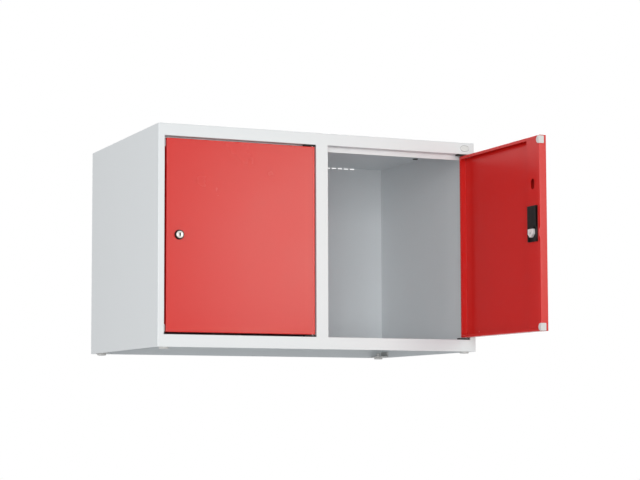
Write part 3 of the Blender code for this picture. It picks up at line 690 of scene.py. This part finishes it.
class CABINET_OT_welded_body(bpy.types.Operator):
    """Model the welded body: sides, roof and the front frame with its folded openings"""

    bl_idname = "cabinet.welded_body"
    bl_label = "Welded Body"

    def execute(self, context):
        body = start_box("welded_body", BODY_LOW, BODY_HIGH)
        cuts = [((x, FRONT, OPENING_LOW), (1, 0, 0)) for opening in OPENINGS for x in opening]
        cuts += [((0, FRONT, z), (0, 0, 1)) for z in (OPENING_LOW, OPENING_HIGH)]
        for cut_place, cut_normal in cuts:
            pick(body, "FACE", faces(Y, -1))
            bpy.ops.mesh.bisect(plane_co=cut_place, plane_no=cut_normal)
        pick(body, "FACE", in_opening)
        returns = {"value": (0, RETURN_BACK - FRONT, 0)}
        bpy.ops.mesh.extrude_region_move(TRANSFORM_OT_translate=returns)
        bpy.ops.mesh.delete(type="FACE")
        drop_faces(body, lambda place, facing: near(place.y, BODY_HIGH.y) or near(place.z, BODY_LOW.z))
        bevel_edges(body, on_outer_fold, sizes().outer_bend, steps=4)
        bevel_edges(body, on_opening_fold, sizes().opening_bend, steps=3)
        give_wall(body, SHEET)
        carve(body, join_all(bush_slot_tools() + plug_hole_tools()))
        fit(
            body, "cabinet", "grey_paint", "left_side_panel", "right_side_panel", "top_panel", "left_stile",
            "right_stile", "centre_post", "top_rail", "bottom_rail",
        )
        return {"FINISHED"}


def in_opening(place, facing):
    """Say whether a face lies on the front, in a door opening."""
    across = any(left < place.x < right for left, right in OPENINGS)
    return facing.y < -STRAIGHT and across and OPENING_LOW < place.z < OPENING_HIGH


def on_outer_fold(place, direction):
    """Say whether an edge is an outer fold of the front or of the roof."""
    at_side = near(abs(place.x), BODY_HIGH.x)
    at_top = near(place.z, BODY_HIGH.z)
    at_front = near(place.y, FRONT)
    if at_front and at_side:
        return along(direction, Z)
    if at_front and at_top:
        return along(direction, X)
    return at_side and at_top and along(direction, Y)


def on_opening_fold(place, direction):
    """Say whether an edge is one of the front folds around a door opening."""
    if not near(place.y, FRONT):
        return False
    level = near(place.z, OPENING_LOW) or near(place.z, OPENING_HIGH)
    for left, right in OPENINGS:
        upright = near(place.x, left) or near(place.x, right)
        if upright and along(direction, Z) and OPENING_LOW < place.z < OPENING_HIGH:
            return True
        if level and along(direction, X) and left < place.x < right:
            return True
    return False


def bush_slot_tools():
    """Return a tool for each bush slot: both ends of both openings, so that a door can hang either way."""
    tools = []
    half_length = sizes().slot_length / 2
    half_width = sizes().slot_width / 2
    reach = SHEET + OVERCUT
    pin_y = LEFT_HINGE.y
    for place in (middle("left_upper_hinge_bush").x, middle("right_upper_hinge_bush").x):
        for x in (place, -place):
            for z in (OPENING_LOW, OPENING_HIGH):
                lowest = (x - half_length, pin_y - half_width, z - reach)
                highest = (x + half_length, pin_y + half_width, z + reach)
                tools.append(stadium("bush_slot", lowest, highest, Z))
    return tools


def plug_hole_tools():
    """Return a tool for the hole of each roof plug."""
    tools = []
    for node in ("left_roof_plug", "right_roof_plug"):
        centre = middle(node)
        centre.z = BODY_HIGH.z
        radius = plug_shank() + sizes().hole_clearance
        tools.append(rod("plug_hole", radius, centre, UPWARD, -2 * SHEET, SHEET))
    return tools


def plug_shank():
    """Return the radius of a roof plug's shank, a rim inside its head."""
    return radius_of("left_roof_plug") - sizes().plug_rim


class CABINET_OT_rear_sheet(bpy.types.Operator):
    """Model the rear sheet with its row of vent notches behind each compartment"""

    bl_idname = "cabinet.rear_sheet"
    bl_label = "Rear Sheet"

    def execute(self, context):
        size = sizes()
        top = BODY_HIGH.z - SHEET
        lowest = Vector((BODY_LOW.x + SHEET, BODY_HIGH.y - SHEET, BODY_LOW.z))
        highest = Vector((BODY_HIGH.x - SHEET, BODY_HIGH.y, top))
        sheet = start_box("rear_sheet", lowest, highest)
        tools = []
        row = (size.vent_count - 1) * size.vent_pitch
        half = size.vent_width / 2
        for left, right in OPENINGS:
            for number in range(size.vent_count):
                x = (left + right) / 2 - row / 2 + number * size.vent_pitch
                notch_low = (x - half, lowest.y - OVERCUT, top - size.vent_height)
                notch_high = (x + half, highest.y + OVERCUT, top + OVERCUT)
                notch = start_box("vent_notch", notch_low, notch_high)
                bevel_edges(notch, edges(Y), size.vent_corner, steps=3)
                tools.append(notch)
        carve(sheet, join_all(tools))
        fit(sheet, "cabinet", "grey_paint", "back_panel")
        return {"FINISHED"}


class CABINET_OT_floor_tray(bpy.types.Operator):
    """Model the raised floor as a tray with a folded rim"""

    bl_idname = "cabinet.floor_tray"
    bl_label = "Floor Tray"

    def execute(self, context):
        top = high("floor_panel").z
        tray_low = (BODY_LOW.x + SHEET, RETURN_BACK, low("floor_panel").z)
        tray = start_box("floor_tray", tray_low, (BODY_HIGH.x - SHEET, BODY_HIGH.y - SHEET, top))
        drop_faces(tray, faces(Z, -1))
        bevel_edges(tray, lambda place, direction: near(place.z, top), sizes().opening_bend, steps=3)
        give_wall(tray, SHEET)
        fit(tray, "cabinet", "grey_paint", "floor_panel")
        return {"FINISHED"}


class CABINET_OT_hinge_bushes(bpy.types.Operator):
    """Model the black hinge bushes in the rail slots"""

    bl_idname = "cabinet.hinge_bushes"
    bl_label = "Hinge Bushes"

    def execute(self, context):
        for hand, hinge in (("left", LEFT_HINGE), ("right", RIGHT_HINGE)):
            for level in ("upper", "lower"):
                self.make_bush(hand, level, hinge)
        return {"FINISHED"}

    def make_bush(self, hand, level, hinge):
        """Make one bush: a plate against the rail's return, a block in the slot and a bore for the pin."""
        size = sizes()
        node = f"{hand}_{level}_hinge_bush"
        lowest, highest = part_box(node)
        seat = OPENING_LOW
        face = highest.z
        tip = lowest.z
        if level == "upper":
            seat = OPENING_HIGH
            face = lowest.z
            tip = highest.z
        plate_end = (highest.x, highest.y, face)
        bush = start_box(f"{hand}_{level}_bearing", (lowest.x, lowest.y, seat), plate_end)
        bevel_edges(bush, edges(Z), size.bush_corner, steps=4)
        half_length = size.slot_length / 2 - size.hole_clearance
        half_width = size.slot_width / 2 - size.hole_clearance
        x = (lowest.x + highest.x) / 2
        block_start = (x - half_length, hinge.y - half_width, (seat + face) / 2)
        block_end = (x + half_length, hinge.y + half_width, tip)
        carve(bush, stadium("bush_block", block_start, block_end, Z), "UNION")
        centre = Vector((hinge.x, hinge.y, 0))
        start = lowest.z - OVERCUT
        end = highest.z + OVERCUT
        carve(bush, rod("bush_bore", size.pin_hole, centre, UPWARD, start, end, steps=32))
        soften(bush, size.plastic_edge)
        fit(bush, "cabinet", "black_plastic", node)


# Outline of a foot: steps that take off its corners, and its hollow in shares of the radius and heights
FOOT_CUT = ((0.0006, 0.0), (0.0, 0.0006))
FOOT_TOE = ((0.0, -0.0014), (0.0004, -0.0006), (0.0014, 0.0))
FOOT_HOLLOW = ((0.55, 0.0), (0.5, 0.0005), (0.0, 0.0005))


class CABINET_OT_feet(bpy.types.Operator):
    """Model the four pad feet with their stems"""

    bl_idname = "cabinet.feet"
    bl_label = "Feet"

    def execute(self, context):
        stem = sizes().foot_stem
        for row in ("front", "rear"):
            for side in ("left", "right"):
                node = f"{row}_{side}_foot"
                radius = radius_of(node)
                height = high(node).z - low(node).z
                pad = BODY_LOW.z - low(node).z + SHEET
                profile = (
                    (0, height),
                    *corner(stem, height, FOOT_CUT),
                    (stem, pad),
                    *corner(radius, pad, FOOT_CUT),
                    *corner(radius, 0, FOOT_TOE),
                    *((radius * part, rise) for part, rise in FOOT_HOLLOW),
                )
                centre = middle(node)
                centre.z = low(node).z
                foot = lathe(f"{row}_{side}_pad", profile, centre, UPWARD)
                fit(foot, "cabinet", "white_plastic", node)
        return {"FINISHED"}


# Outline of a roof plug: steps at its shank's end, its head's edge and the dome, and the dome's flat share
SHANK_CUT = ((0.0005, 0.0), (0.0, 0.0004))
HEAD_EDGE = ((0.0, 0.0), (0.0, 0.0004))
HEAD_DOME = ((0.0012, -0.0001),)
DOME_FLAT = 0.5


class CABINET_OT_roof_plugs(bpy.types.Operator):
    """Model the black plugs in the roof"""

    bl_idname = "cabinet.roof_plugs"
    bl_label = "Roof Plugs"

    def execute(self, context):
        for side in ("left", "right"):
            node = f"{side}_roof_plug"
            bottom = low(node).z
            height = high(node).z - bottom
            head = radius_of(node)
            shank = plug_shank()
            seat = BODY_HIGH.z - SHEET - bottom
            profile = (
                (0, height),
                *corner(shank, height, SHANK_CUT),
                (shank, seat),
                *corner(head, seat, HEAD_EDGE),
                *corner(head, 0, HEAD_DOME),
                (head * DOME_FLAT, 0),
                (0, 0),
            )
            centre = middle(node)
            centre.z = bottom
            plug = lathe(f"{side}_plug", profile, centre, UPWARD)
            fit(plug, "cabinet", "black_plastic", node)
        return {"FINISHED"}


# Outline of the badge, as depths in shares of the field's depth: its field at shares of the plate's half
# height, and its rim at shares of the rim's width inwards from the edge
BADGE_FIELD = ((0.0, 0.5), (0.5, 0.65))
BADGE_RIM = ((1.3, 1.0), (1.0, 0.85), (0.8, 0.2), (0.55, 0.0), (0.25, 0.2))


class CABINET_OT_badge(bpy.types.Operator):
    """Model the blank oval plate at the right end of the top rail"""

    bl_idname = "cabinet.badge"
    bl_label = "Blank Badge"

    def execute(self, context):
        lowest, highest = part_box("blank_badge")
        size = highest - lowest
        centre = middle("blank_badge")
        centre.y = FRONT
        top = FRONT - lowest.y
        edge = size.z / 2
        rim = sizes().badge_rim
        field = sizes().badge_field
        profile = (
            *((edge * part, top - field * depth) for part, depth in BADGE_FIELD),
            *((edge - rim * part, top - field * depth) for part, depth in BADGE_RIM),
            (edge, top - rim / 2),
            (edge, 0),
            (0, 0),
        )
        plate = lathe("blank_plate", profile, centre, OUTWARD, steps=64)
        open_all(plate)
        bpy.ops.transform.resize(value=(size.x / size.z, 1, 1), center_override=centre)
        fit(plate, "cabinet", "nickel", "blank_badge", finish="satin_nickel")
        return {"FINISHED"}


# Doors


class CABINET_OT_door_skins(bpy.types.Operator):
    """Model the folded door pans with their lips, holes and lock tabs"""

    bl_idname = "cabinet.door_skins"
    bl_label = "Door Skins"

    def execute(self, context):
        size = sizes()
        bend = size.door_bend
        skin = start_box("door_skin", DOOR_LOW, (DOOR_HIGH.x, DOOR_BACK, DOOR_HIGH.z))
        bevel_edges(skin, lambda place, direction: True, bend, steps=4)
        pick(skin, "FACE", faces(Y, 1))
        bpy.ops.mesh.inset(thickness=size.door_lip - bend, use_even_offset=True)
        bpy.ops.mesh.delete(type="FACE")
        give_wall(skin, SHEET)

        half = size.tab_height / 2
        tab_x = DOOR_LOW.x + size.tab_inset
        tab_low = (tab_x, DOOR_BACK - bend, LOCK.z - half)
        tab = start_box("lock_tab", tab_low, (tab_x + SHEET, DOOR_HIGH.y, LOCK.z + half))
        bevel_edges(tab, edges(X, y=DOOR_HIGH.y), size.tab_corner, steps=3)
        carve(skin, tab, "UNION")

        barrel = barrel_shank() + size.hole_clearance
        reach = SHEET + OVERCUT
        drill(skin, barrel, LOCK.y - OVERCUT, LOCK.y + reach)
        for z in (DOOR_LOW.z, DOOR_HIGH.z):
            centre = Vector((LEFT_HINGE.x, LEFT_HINGE.y, z))
            carve(skin, rod("pin_hole", size.pin_hole, centre, UPWARD, -reach, reach, steps=32))
        fit_pair(skin, "door_skin", "door", "red_paint", "door_panel")
        return {"FINISHED"}


def barrel_shank():
    """Return the radius of the lock barrel behind its face."""
    return radius_of("left_lock_barrel") - sizes().barrel_rim


class CABINET_OT_door_channels(bpy.types.Operator):
    """Model the channels that stiffen the lock sides of the doors"""

    bl_idname = "cabinet.door_channels"
    bl_label = "Door Channels"

    def execute(self, context):
        size = sizes()
        lowest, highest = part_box("left_door_stiffener")
        channel = start_box("door_channel", lowest, highest)
        drop_faces(channel, lambda place, facing: facing.y < -STRAIGHT or along(facing, Z))
        bevel_edges(channel, edges(Z, y=highest.y), size.opening_bend, steps=4)
        give_wall(channel, SHEET)
        start = highest.y - SHEET - OVERCUT
        end = highest.y + OVERCUT
        drill(channel, size.hub_neck + size.hole_clearance, start, end)
        half_width = size.channel_slot_width / 2
        half_length = size.channel_slot_length / 2
        z = LOCK.z + size.channel_slot_rise
        slot_low = (LOCK.x - half_width, start, z - half_length)
        slot_high = (LOCK.x + half_width, end, z + half_length)
        carve(channel, stadium("channel_slot", slot_low, slot_high, Y))
        fit_pair(channel, "door_channel", "door", "red_paint", "door_stiffener")
        return {"FINISHED"}


class CABINET_OT_corner_caps(bpy.types.Operator):
    """Model the white caps on the free corners of the doors"""

    bl_idname = "cabinet.corner_caps"
    bl_label = "Corner Caps"

    def execute(self, context):
        size = sizes()
        for level in ("upper", "lower"):
            lowest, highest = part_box(f"left_{level}_buffer")
            cap = start_box("corner_cap", lowest, highest)
            bevel_edges(cap, edges(Y, x=highest.x), size.cap_corner, steps=8)
            bevel_edges(cap, edges(X, y=lowest.y), size.cap_front_corner, steps=4)
            inner = (lowest.x + size.cap_wall, lowest.y - OVERCUT, lowest.z - OVERCUT)
            outer = (highest.x + OVERCUT, DOOR_BACK, highest.z + OVERCUT)
            carve(cap, start_box("door_corner", inner, outer))
            soften(cap, size.cap_edge, steps=3)
            fit_pair(cap, f"{level}_corner_cap", "door", "white_plastic", f"{level}_buffer")
        return {"FINISHED"}


# Locks

# Outlines of the turned lock pieces: steps that take off the corners of the ring, barrel, key plug and stub
RING_BORE = ((0.0, 0.0003), (-0.0003, 0.0))
RING_TIP = ((0.0007, 0.0), (0.0002, 0.0002), (0.0, 0.0007))
RING_FOOT = ((0.0001, -0.0008), (0.0, 0.0))
BARREL_BORE = ((0.0, 0.0005), (-0.0004, 0.0001))
BARREL_FACE = ((0.0022, 0.0), (0.0009, 0.0001), (0.0003, 0.0004), (0.0, 0.0011))
KEY_PLUG_FACE = ((0.0006, 0.0), (0.0002, 0.0002), (0.0, 0.0006))
STUB_CUT = ((0.0, -0.0004), (0.0004, 0.0))


def lock_ends(node):
    """Return how far a lock piece stands out of the door's face at its front and at its rear end."""
    lowest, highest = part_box(node)
    return LOCK.y - lowest.y, LOCK.y - highest.y


class CABINET_OT_lock_fronts(bpy.types.Operator):
    """Model the lock fronts: black rosette, nickel barrel and key plug"""

    bl_idname = "cabinet.lock_fronts"
    bl_label = "Lock Fronts"

    def execute(self, context):
        size = sizes()
        self.make_rosette(size)
        self.make_barrel(size)
        self.make_plug(size)
        return {"FINISHED"}

    def make_rosette(self, size):
        """Make the tapered black ring on the door's face."""
        radius = radius_of("left_lock_rosette")
        height, _ = lock_ends("left_lock_rosette")
        hole = barrel_shank() + size.barrel_rim + size.hole_clearance
        tip = radius - size.ring_taper
        profile = [
            *corner(hole, height, RING_BORE),
            *corner(tip, height, RING_TIP),
            *corner(radius, 0, RING_FOOT),
            (hole, 0),
        ]
        ring = lathe("lock_ring", profile + profile[:1], LOCK, OUTWARD, steps=64)
        fit_pair(ring, "lock_ring", "door", "black_plastic", "lock_rosette")

    def make_barrel(self, size):
        """Make the nickel barrel: a face with a rounded rim and a shank through the door."""
        face, end = lock_ends("left_lock_barrel")
        shank = barrel_shank()
        rim = shank + size.barrel_rim
        bore = radius_of("left_lock_plug") + size.hole_clearance
        profile = [
            *corner(bore, face, BARREL_BORE),
            *corner(rim, face, BARREL_FACE),
            (rim, size.barrel_gap),
            (shank, size.barrel_gap),
            (shank, end),
            (bore, end),
        ]
        barrel = lathe("lock_face", profile + profile[:1], LOCK, OUTWARD, steps=64)
        fit_pair(barrel, "lock_face", "door", "nickel", "lock_barrel")

    def make_plug(self, size):
        """Make the turning key plug with its stub and key slot, and the dust shutter in the slot, near black and
        matt to paint the shade deep in the slot.
        """
        face, end = lock_ends("left_lock_plug")
        _, shoulder = lock_ends("left_lock_barrel")
        radius = radius_of("left_lock_plug")
        stub = size.stub_radius
        profile = (
            (0, face),
            *corner(radius, face, KEY_PLUG_FACE),
            (radius, shoulder),
            (stub, shoulder),
            *corner(stub, end, STUB_CUT),
            (0, end),
        )
        plug = lathe("key_plug", profile, LOCK, OUTWARD, steps=64)
        half_width = size.key_slot_width / 2
        half_height = size.key_slot_height / 2
        slot_low = LOCK + Vector((-half_width, -face - OVERCUT, -half_height))
        slot_high = LOCK + Vector((half_width, size.key_slot_depth - face, half_height))
        carve(plug, stadium("key_slot", slot_low, slot_high, Y))
        fit_pair(plug, "key_plug", "lock", "nickel", "lock_plug")
        # The dust shutter is near black and matt, to paint the shade deep in the key slot
        gap = Vector((size.shutter_gap, 0, size.shutter_gap))
        shutter_low = slot_low + gap + Vector((0, OVERCUT + size.shutter_depth, 0))
        shutter = stadium("key_shutter", shutter_low, slot_high - gap, Y)
        soften(shutter, size.fine_edge)
        fit_pair(shutter, "key_shutter", "lock", "black_plastic", finish="matt_black")


class CABINET_OT_lock_covers(bpy.types.Operator):
    """Model the black lock covers on the inner sides of the doors"""

    bl_idname = "cabinet.lock_covers"
    bl_label = "Lock Covers"

    def execute(self, context):
        size = sizes()
        lowest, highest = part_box("left_lock_case")
        lowest.y = DOOR_BACK
        cover = start_box("lock_cover", lowest, highest)
        bevel_edges(cover, lambda place, direction: not near(place.x, lowest.x), size.case_bend, steps=4)
        drop_faces(cover, faces(X, -1))
        give_wall(cover, size.case_wall)
        start = cover_floor()
        end = highest.y + OVERCUT
        drill(cover, size.hub_neck + size.hole_clearance, DOOR_BACK - OVERCUT, end)
        drill(cover, size.hub_hole, start, end)
        window_low = (lowest.x - OVERCUT, start, low("left_lock_cam").z)
        carve(cover, start_box("cover_window", window_low, (LOCK.x, end, LOCK.z + size.hub_hole)))
        half_gap = size.case_leg_gap / 2
        gap_low = (LOCK.x - half_gap, start, lowest.z - OVERCUT)
        carve(cover, start_box("leg_gap", gap_low, (LOCK.x + half_gap, end, LOCK.z)))
        fit_pair(cover, "lock_cover", "door", "black_plastic", "lock_case")
        return {"FINISHED"}


def cover_floor():
    """Return the place on Y just behind the floor of a lock cover."""
    return DOOR_BACK + sizes().case_wall + sizes().hole_clearance


class CABINET_OT_lock_cams(bpy.types.Operator):
    """Model the cast cams with their hubs and tongues, and the nuts that hold them"""

    bl_idname = "cabinet.lock_cams"
    bl_label = "Lock Cams"

    def execute(self, context):
        size = sizes()
        bore = size.stub_radius + size.hole_clearance
        nut_low, nut_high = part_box("left_lock_cam_nut")
        nut_corner = (nut_high.z - nut_low.z) / 2
        self.make_hub(size, bore, nut_corner, nut_low.y)
        self.make_tongue(size)
        self.make_nut(size, bore, nut_corner, nut_low.y, nut_high.y)
        return {"FINISHED"}

    def make_hub(self, size, bore, nut_corner, seat):
        """Make the hub with its neck, cut corners and nut seat."""
        lowest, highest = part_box("left_lock_cam")
        hub_face = cover_floor()
        top = LOCK.z + size.hub_rise
        end = highest.y + OVERCUT
        hub = start_box("cam_lever", (lowest.x, hub_face, lowest.z), (highest.x, highest.y, top))
        bevel_edges(hub, edges(Y, z=top), size.hub_upper_cut, steps=1)
        bevel_edges(hub, edges(Y, z=lowest.z), size.hub_lower_cut, steps=1)
        neck_start = lowest.y - LOCK.y
        neck_end = hub_face - LOCK.y + OVERCUT
        carve(hub, rod("hub_neck", size.hub_neck, LOCK, -OUTWARD, neck_start, neck_end), "UNION")
        drill(hub, bore, lowest.y - OVERCUT, end, steps=32)
        carve(hub, hexagon("nut_seat", nut_corner + size.hole_clearance / 2, seat, end))
        soften(hub, size.hub_edge)
        drop_slivers(hub)
        fit_pair(hub, "cam_lever", "lock", "nickel", "lock_cam", finish="cast_nickel")

    def make_tongue(self, size):
        """Make the tongue above the hub, in dark steel darkened further to paint the shade over the hub."""
        top = high("left_lock_cam").z
        half = size.tongue_width / 2
        start = LOCK.y + size.tongue_depth
        tongue_low = (LOCK.x - half, start, LOCK.z + size.hub_rise)
        tongue = start_box("cam_tongue", tongue_low, (LOCK.x + half, start + size.tongue_thickness, top))
        bevel_edges(tongue, edges(Y, z=top), half * ROUND_END, steps=8)
        soften(tongue, size.fine_edge)
        # Dark steel, darkened further to paint the shade above the hub
        fit_pair(tongue, "cam_tongue", "lock", "nickel", finish="dark_steel")

    def make_nut(self, size, bore, nut_corner, start, end):
        """Make the small hexagon nut in the hub."""
        nut = hexagon("cam_hexagon", nut_corner, start, end)
        drill(nut, bore, start - OVERCUT, end + OVERCUT, steps=32)
        soften(nut, size.fine_edge)
        fit_pair(nut, "cam_hexagon", "lock", "zinc_steel", "lock_cam_nut", finish="cast_nickel")


def hexagon(name, radius, start, end):
    """Add a six-sided bar about the lock axis, from one place on Y to another."""
    activate(None)
    centre = (LOCK.x, (start + end) / 2, LOCK.z)
    bpy.ops.mesh.primitive_cylinder_add(vertices=6, radius=radius, depth=end - start, location=centre)
    bar = bpy.context.active_object
    bar.rotation_euler = (math.pi / 2, 0, 0)
    return settle(bar, name)


# Frame nodes that keep their shape


class CABINET_OT_frame_finishes(bpy.types.Operator):
    """Paint the frame nodes that stay in view"""

    bl_idname = "cabinet.frame_finishes"
    bl_label = "Frame Finishes"

    def execute(self, context):
        slots = {row["node"]: row["material_slot"] for row in frame["record"]["subparts"]}
        for name, node in frame["nodes"].items():
            if node.hide_render:
                continue
            material = finish_material(slots[name])
            if not node.material_slots:
                node.data.materials.append(material)
            for holder in node.material_slots:
                holder.material = material
        return {"FINISHED"}


# Stage

SENSOR_WIDTH = 36.0
FLOOR_SIZE = 12.0
FLOOR_ROUGHNESS = 0.8
WHITE = (1.0, 1.0, 1.0)
WARM = (1.0, 0.96, 0.86)

# Place, size and colour of each soft box, whose power is a stage setting
LAMPS = {
    "key": ((-4.0, -0.6, 0.3), 2.0, WHITE),
    "front": ((-1.6, -3.8, 0.3), 2.0, WHITE),
    "upper": ((-1.6, -3.6, 1.9), 2.0, WHITE),
    "sheen": ((1.4, -3.2, 0.6), 1.0, WARM),
    "bounce": ((-0.4, -2.2, -1.6), 2.0, WHITE),
    "rear": ((2.4, 3.8, 3.4), 2.2, WHITE),
}


class CABINET_OT_stage(bpy.types.Operator):
    """Set up the camera, the soft light and the pale floor"""

    bl_idname = "cabinet.stage"
    bl_label = "Stage"

    def execute(self, context):
        settings = stage_settings()
        context.scene.view_settings.view_transform = "Standard"
        self.make_camera(context.scene, settings)
        self.make_world(context.scene, settings)
        for name, (place, size, tint) in LAMPS.items():
            lamp = self.make_lamp(name, place, size, tint, getattr(settings, f"{name}_power"))
            context.scene.collection.objects.link(lamp)
        self.make_floor(settings)
        return {"FINISHED"}

    def make_camera(self, scene, settings):
        """Stand the camera where the photograph was taken from."""
        data = bpy.data.cameras.new("view")
        data.lens = settings.lens
        data.sensor_width = SENSOR_WIDTH
        data.shift_x = settings.shift_x
        data.shift_y = settings.shift_y
        camera = bpy.data.objects.new("view", data)
        camera.location = settings.camera_place
        camera.rotation_euler = (math.pi / 2 + settings.camera_pitch, 0, -settings.camera_yaw)
        scene.collection.objects.link(camera)
        scene.camera = camera

    def make_world(self, scene, settings):
        """Surround the object with even light, white where a camera or a gloss sees it."""
        world = bpy.data.worlds.new("white_studio")
        world.use_nodes = True
        tree = world.node_tree
        even = tree.nodes["Background"]
        give(tree, even, {"Color": (*WHITE, 1.0), "Strength": settings.fill_level})
        white = add_node(tree, "ShaderNodeBackground", {"Color": (*WHITE, 1.0), "Strength": 1.0})
        path = add_node(tree, "ShaderNodeLightPath").outputs
        seen = calculate(tree, "MAXIMUM", path["Is Camera Ray"], path["Is Glossy Ray"])
        seen = calculate(tree, "MAXIMUM", seen, path["Is Transmission Ray"])
        light = mix(tree, seen, even.outputs["Background"], white.outputs["Background"])
        give(tree, tree.nodes["World Output"], {"Surface": light})
        scene.world = world

    def make_lamp(self, name, place, size, tint, power):
        """Make a soft box that faces the middle of the cabinet."""
        data = bpy.data.lights.new(name, "AREA")
        data.shape = "SQUARE"
        data.size = size
        data.energy = power
        data.color = tint
        lamp = bpy.data.objects.new(name, data)
        lamp.location = place
        aim = (CAD_BOX[0] + CAD_BOX[1]) / 2 - lamp.location
        lamp.rotation_euler = aim.to_track_quat("-Z", "Y").to_euler()
        return lamp

    def make_floor(self, settings):
        """Lay a pale floor that shows the shadow from above and lets a low camera look up through it."""
        activate(None)
        bpy.ops.mesh.primitive_plane_add(size=FLOOR_SIZE, location=(0, 0, CAD_BOX[0].z))
        floor = settle(bpy.context.active_object, "floor")
        material = bpy.data.materials.new("floor_paper")
        material.use_nodes = True
        material.cycles.emission_sampling = "NONE"
        tree = material.node_tree
        shader = tree.nodes["Principled BSDF"]
        give(tree, shader, {"Base Color": (*colours().floor, 1.0), "Roughness": FLOOR_ROUGHNESS})
        white = add_node(tree, "ShaderNodeEmission").outputs["Emission"]
        seen = add_node(tree, "ShaderNodeLightPath").outputs["Is Camera Ray"]
        whiteness = calculate(tree, "MULTIPLY", seen, settings.floor_white)
        paper = mix(tree, whiteness, shader.outputs["BSDF"], white)
        clear = add_node(tree, "ShaderNodeBsdfTransparent").outputs["BSDF"]
        behind = add_node(tree, "ShaderNodeNewGeometry").outputs["Backfacing"]
        give(tree, tree.nodes["Material Output"], {"Surface": mix(tree, behind, paper, clear)})
        floor.data.materials.append(material)
        for ray in ("diffuse", "glossy", "transmission", "shadow"):
            setattr(floor, f"visible_{ray}", False)


STEPS = (
    CABINET_OT_stage,
    CABINET_OT_welded_body,
    CABINET_OT_rear_sheet,
    CABINET_OT_floor_tray,
    CABINET_OT_hinge_bushes,
    CABINET_OT_feet,
    CABINET_OT_roof_plugs,
    CABINET_OT_badge,
    CABINET_OT_door_skins,
    CABINET_OT_door_channels,
    CABINET_OT_corner_caps,
    CABINET_OT_lock_fronts,
    CABINET_OT_lock_covers,
    CABINET_OT_lock_cams,
    CABINET_OT_frame_finishes,
)


class CABINET_PT_panel(bpy.types.Panel):
    """List the pieces of the cabinet in the sidebar"""

    bl_idname = "CABINET_PT_panel"
    bl_label = "Locker Top Cabinet"
    bl_space_type = "VIEW_3D"
    bl_region_type = "UI"
    bl_category = "Cabinet"

    def draw(self, context):
        for settings in (sizes(), colours(), stage_settings()):
            box = self.layout.box()
            for label in settings.__annotations__:
                box.prop(settings, label)
        for step in STEPS:
            self.layout.operator(step.bl_idname)


SETTINGS = (
    ("cabinet_sizes", CabinetSizes),
    ("cabinet_colours", CabinetColours),
    ("cabinet_stage", CabinetStage),
)


def register():
    """Register the settings, the operators and the panel."""
    for label, group in SETTINGS:
        bpy.utils.register_class(group)
        setattr(bpy.types.Scene, label, bpy.props.PointerProperty(type=group))
    for item in (*STEPS, CABINET_PT_panel):
        bpy.utils.register_class(item)


def unregister():
    """Unregister the panel, the operators and the settings."""
    for item in (CABINET_PT_panel, *reversed(STEPS)):
        bpy.utils.unregister_class(item)
    for label, group in reversed(SETTINGS):
        delattr(bpy.types.Scene, label)
        bpy.utils.unregister_class(group)


def main():
    """Model every piece in order."""
    register()
    for step in STEPS:
        family, action = step.bl_idname.split(".")
        getattr(getattr(bpy.ops, family), action)()


if __name__ == "__main__":
    main()
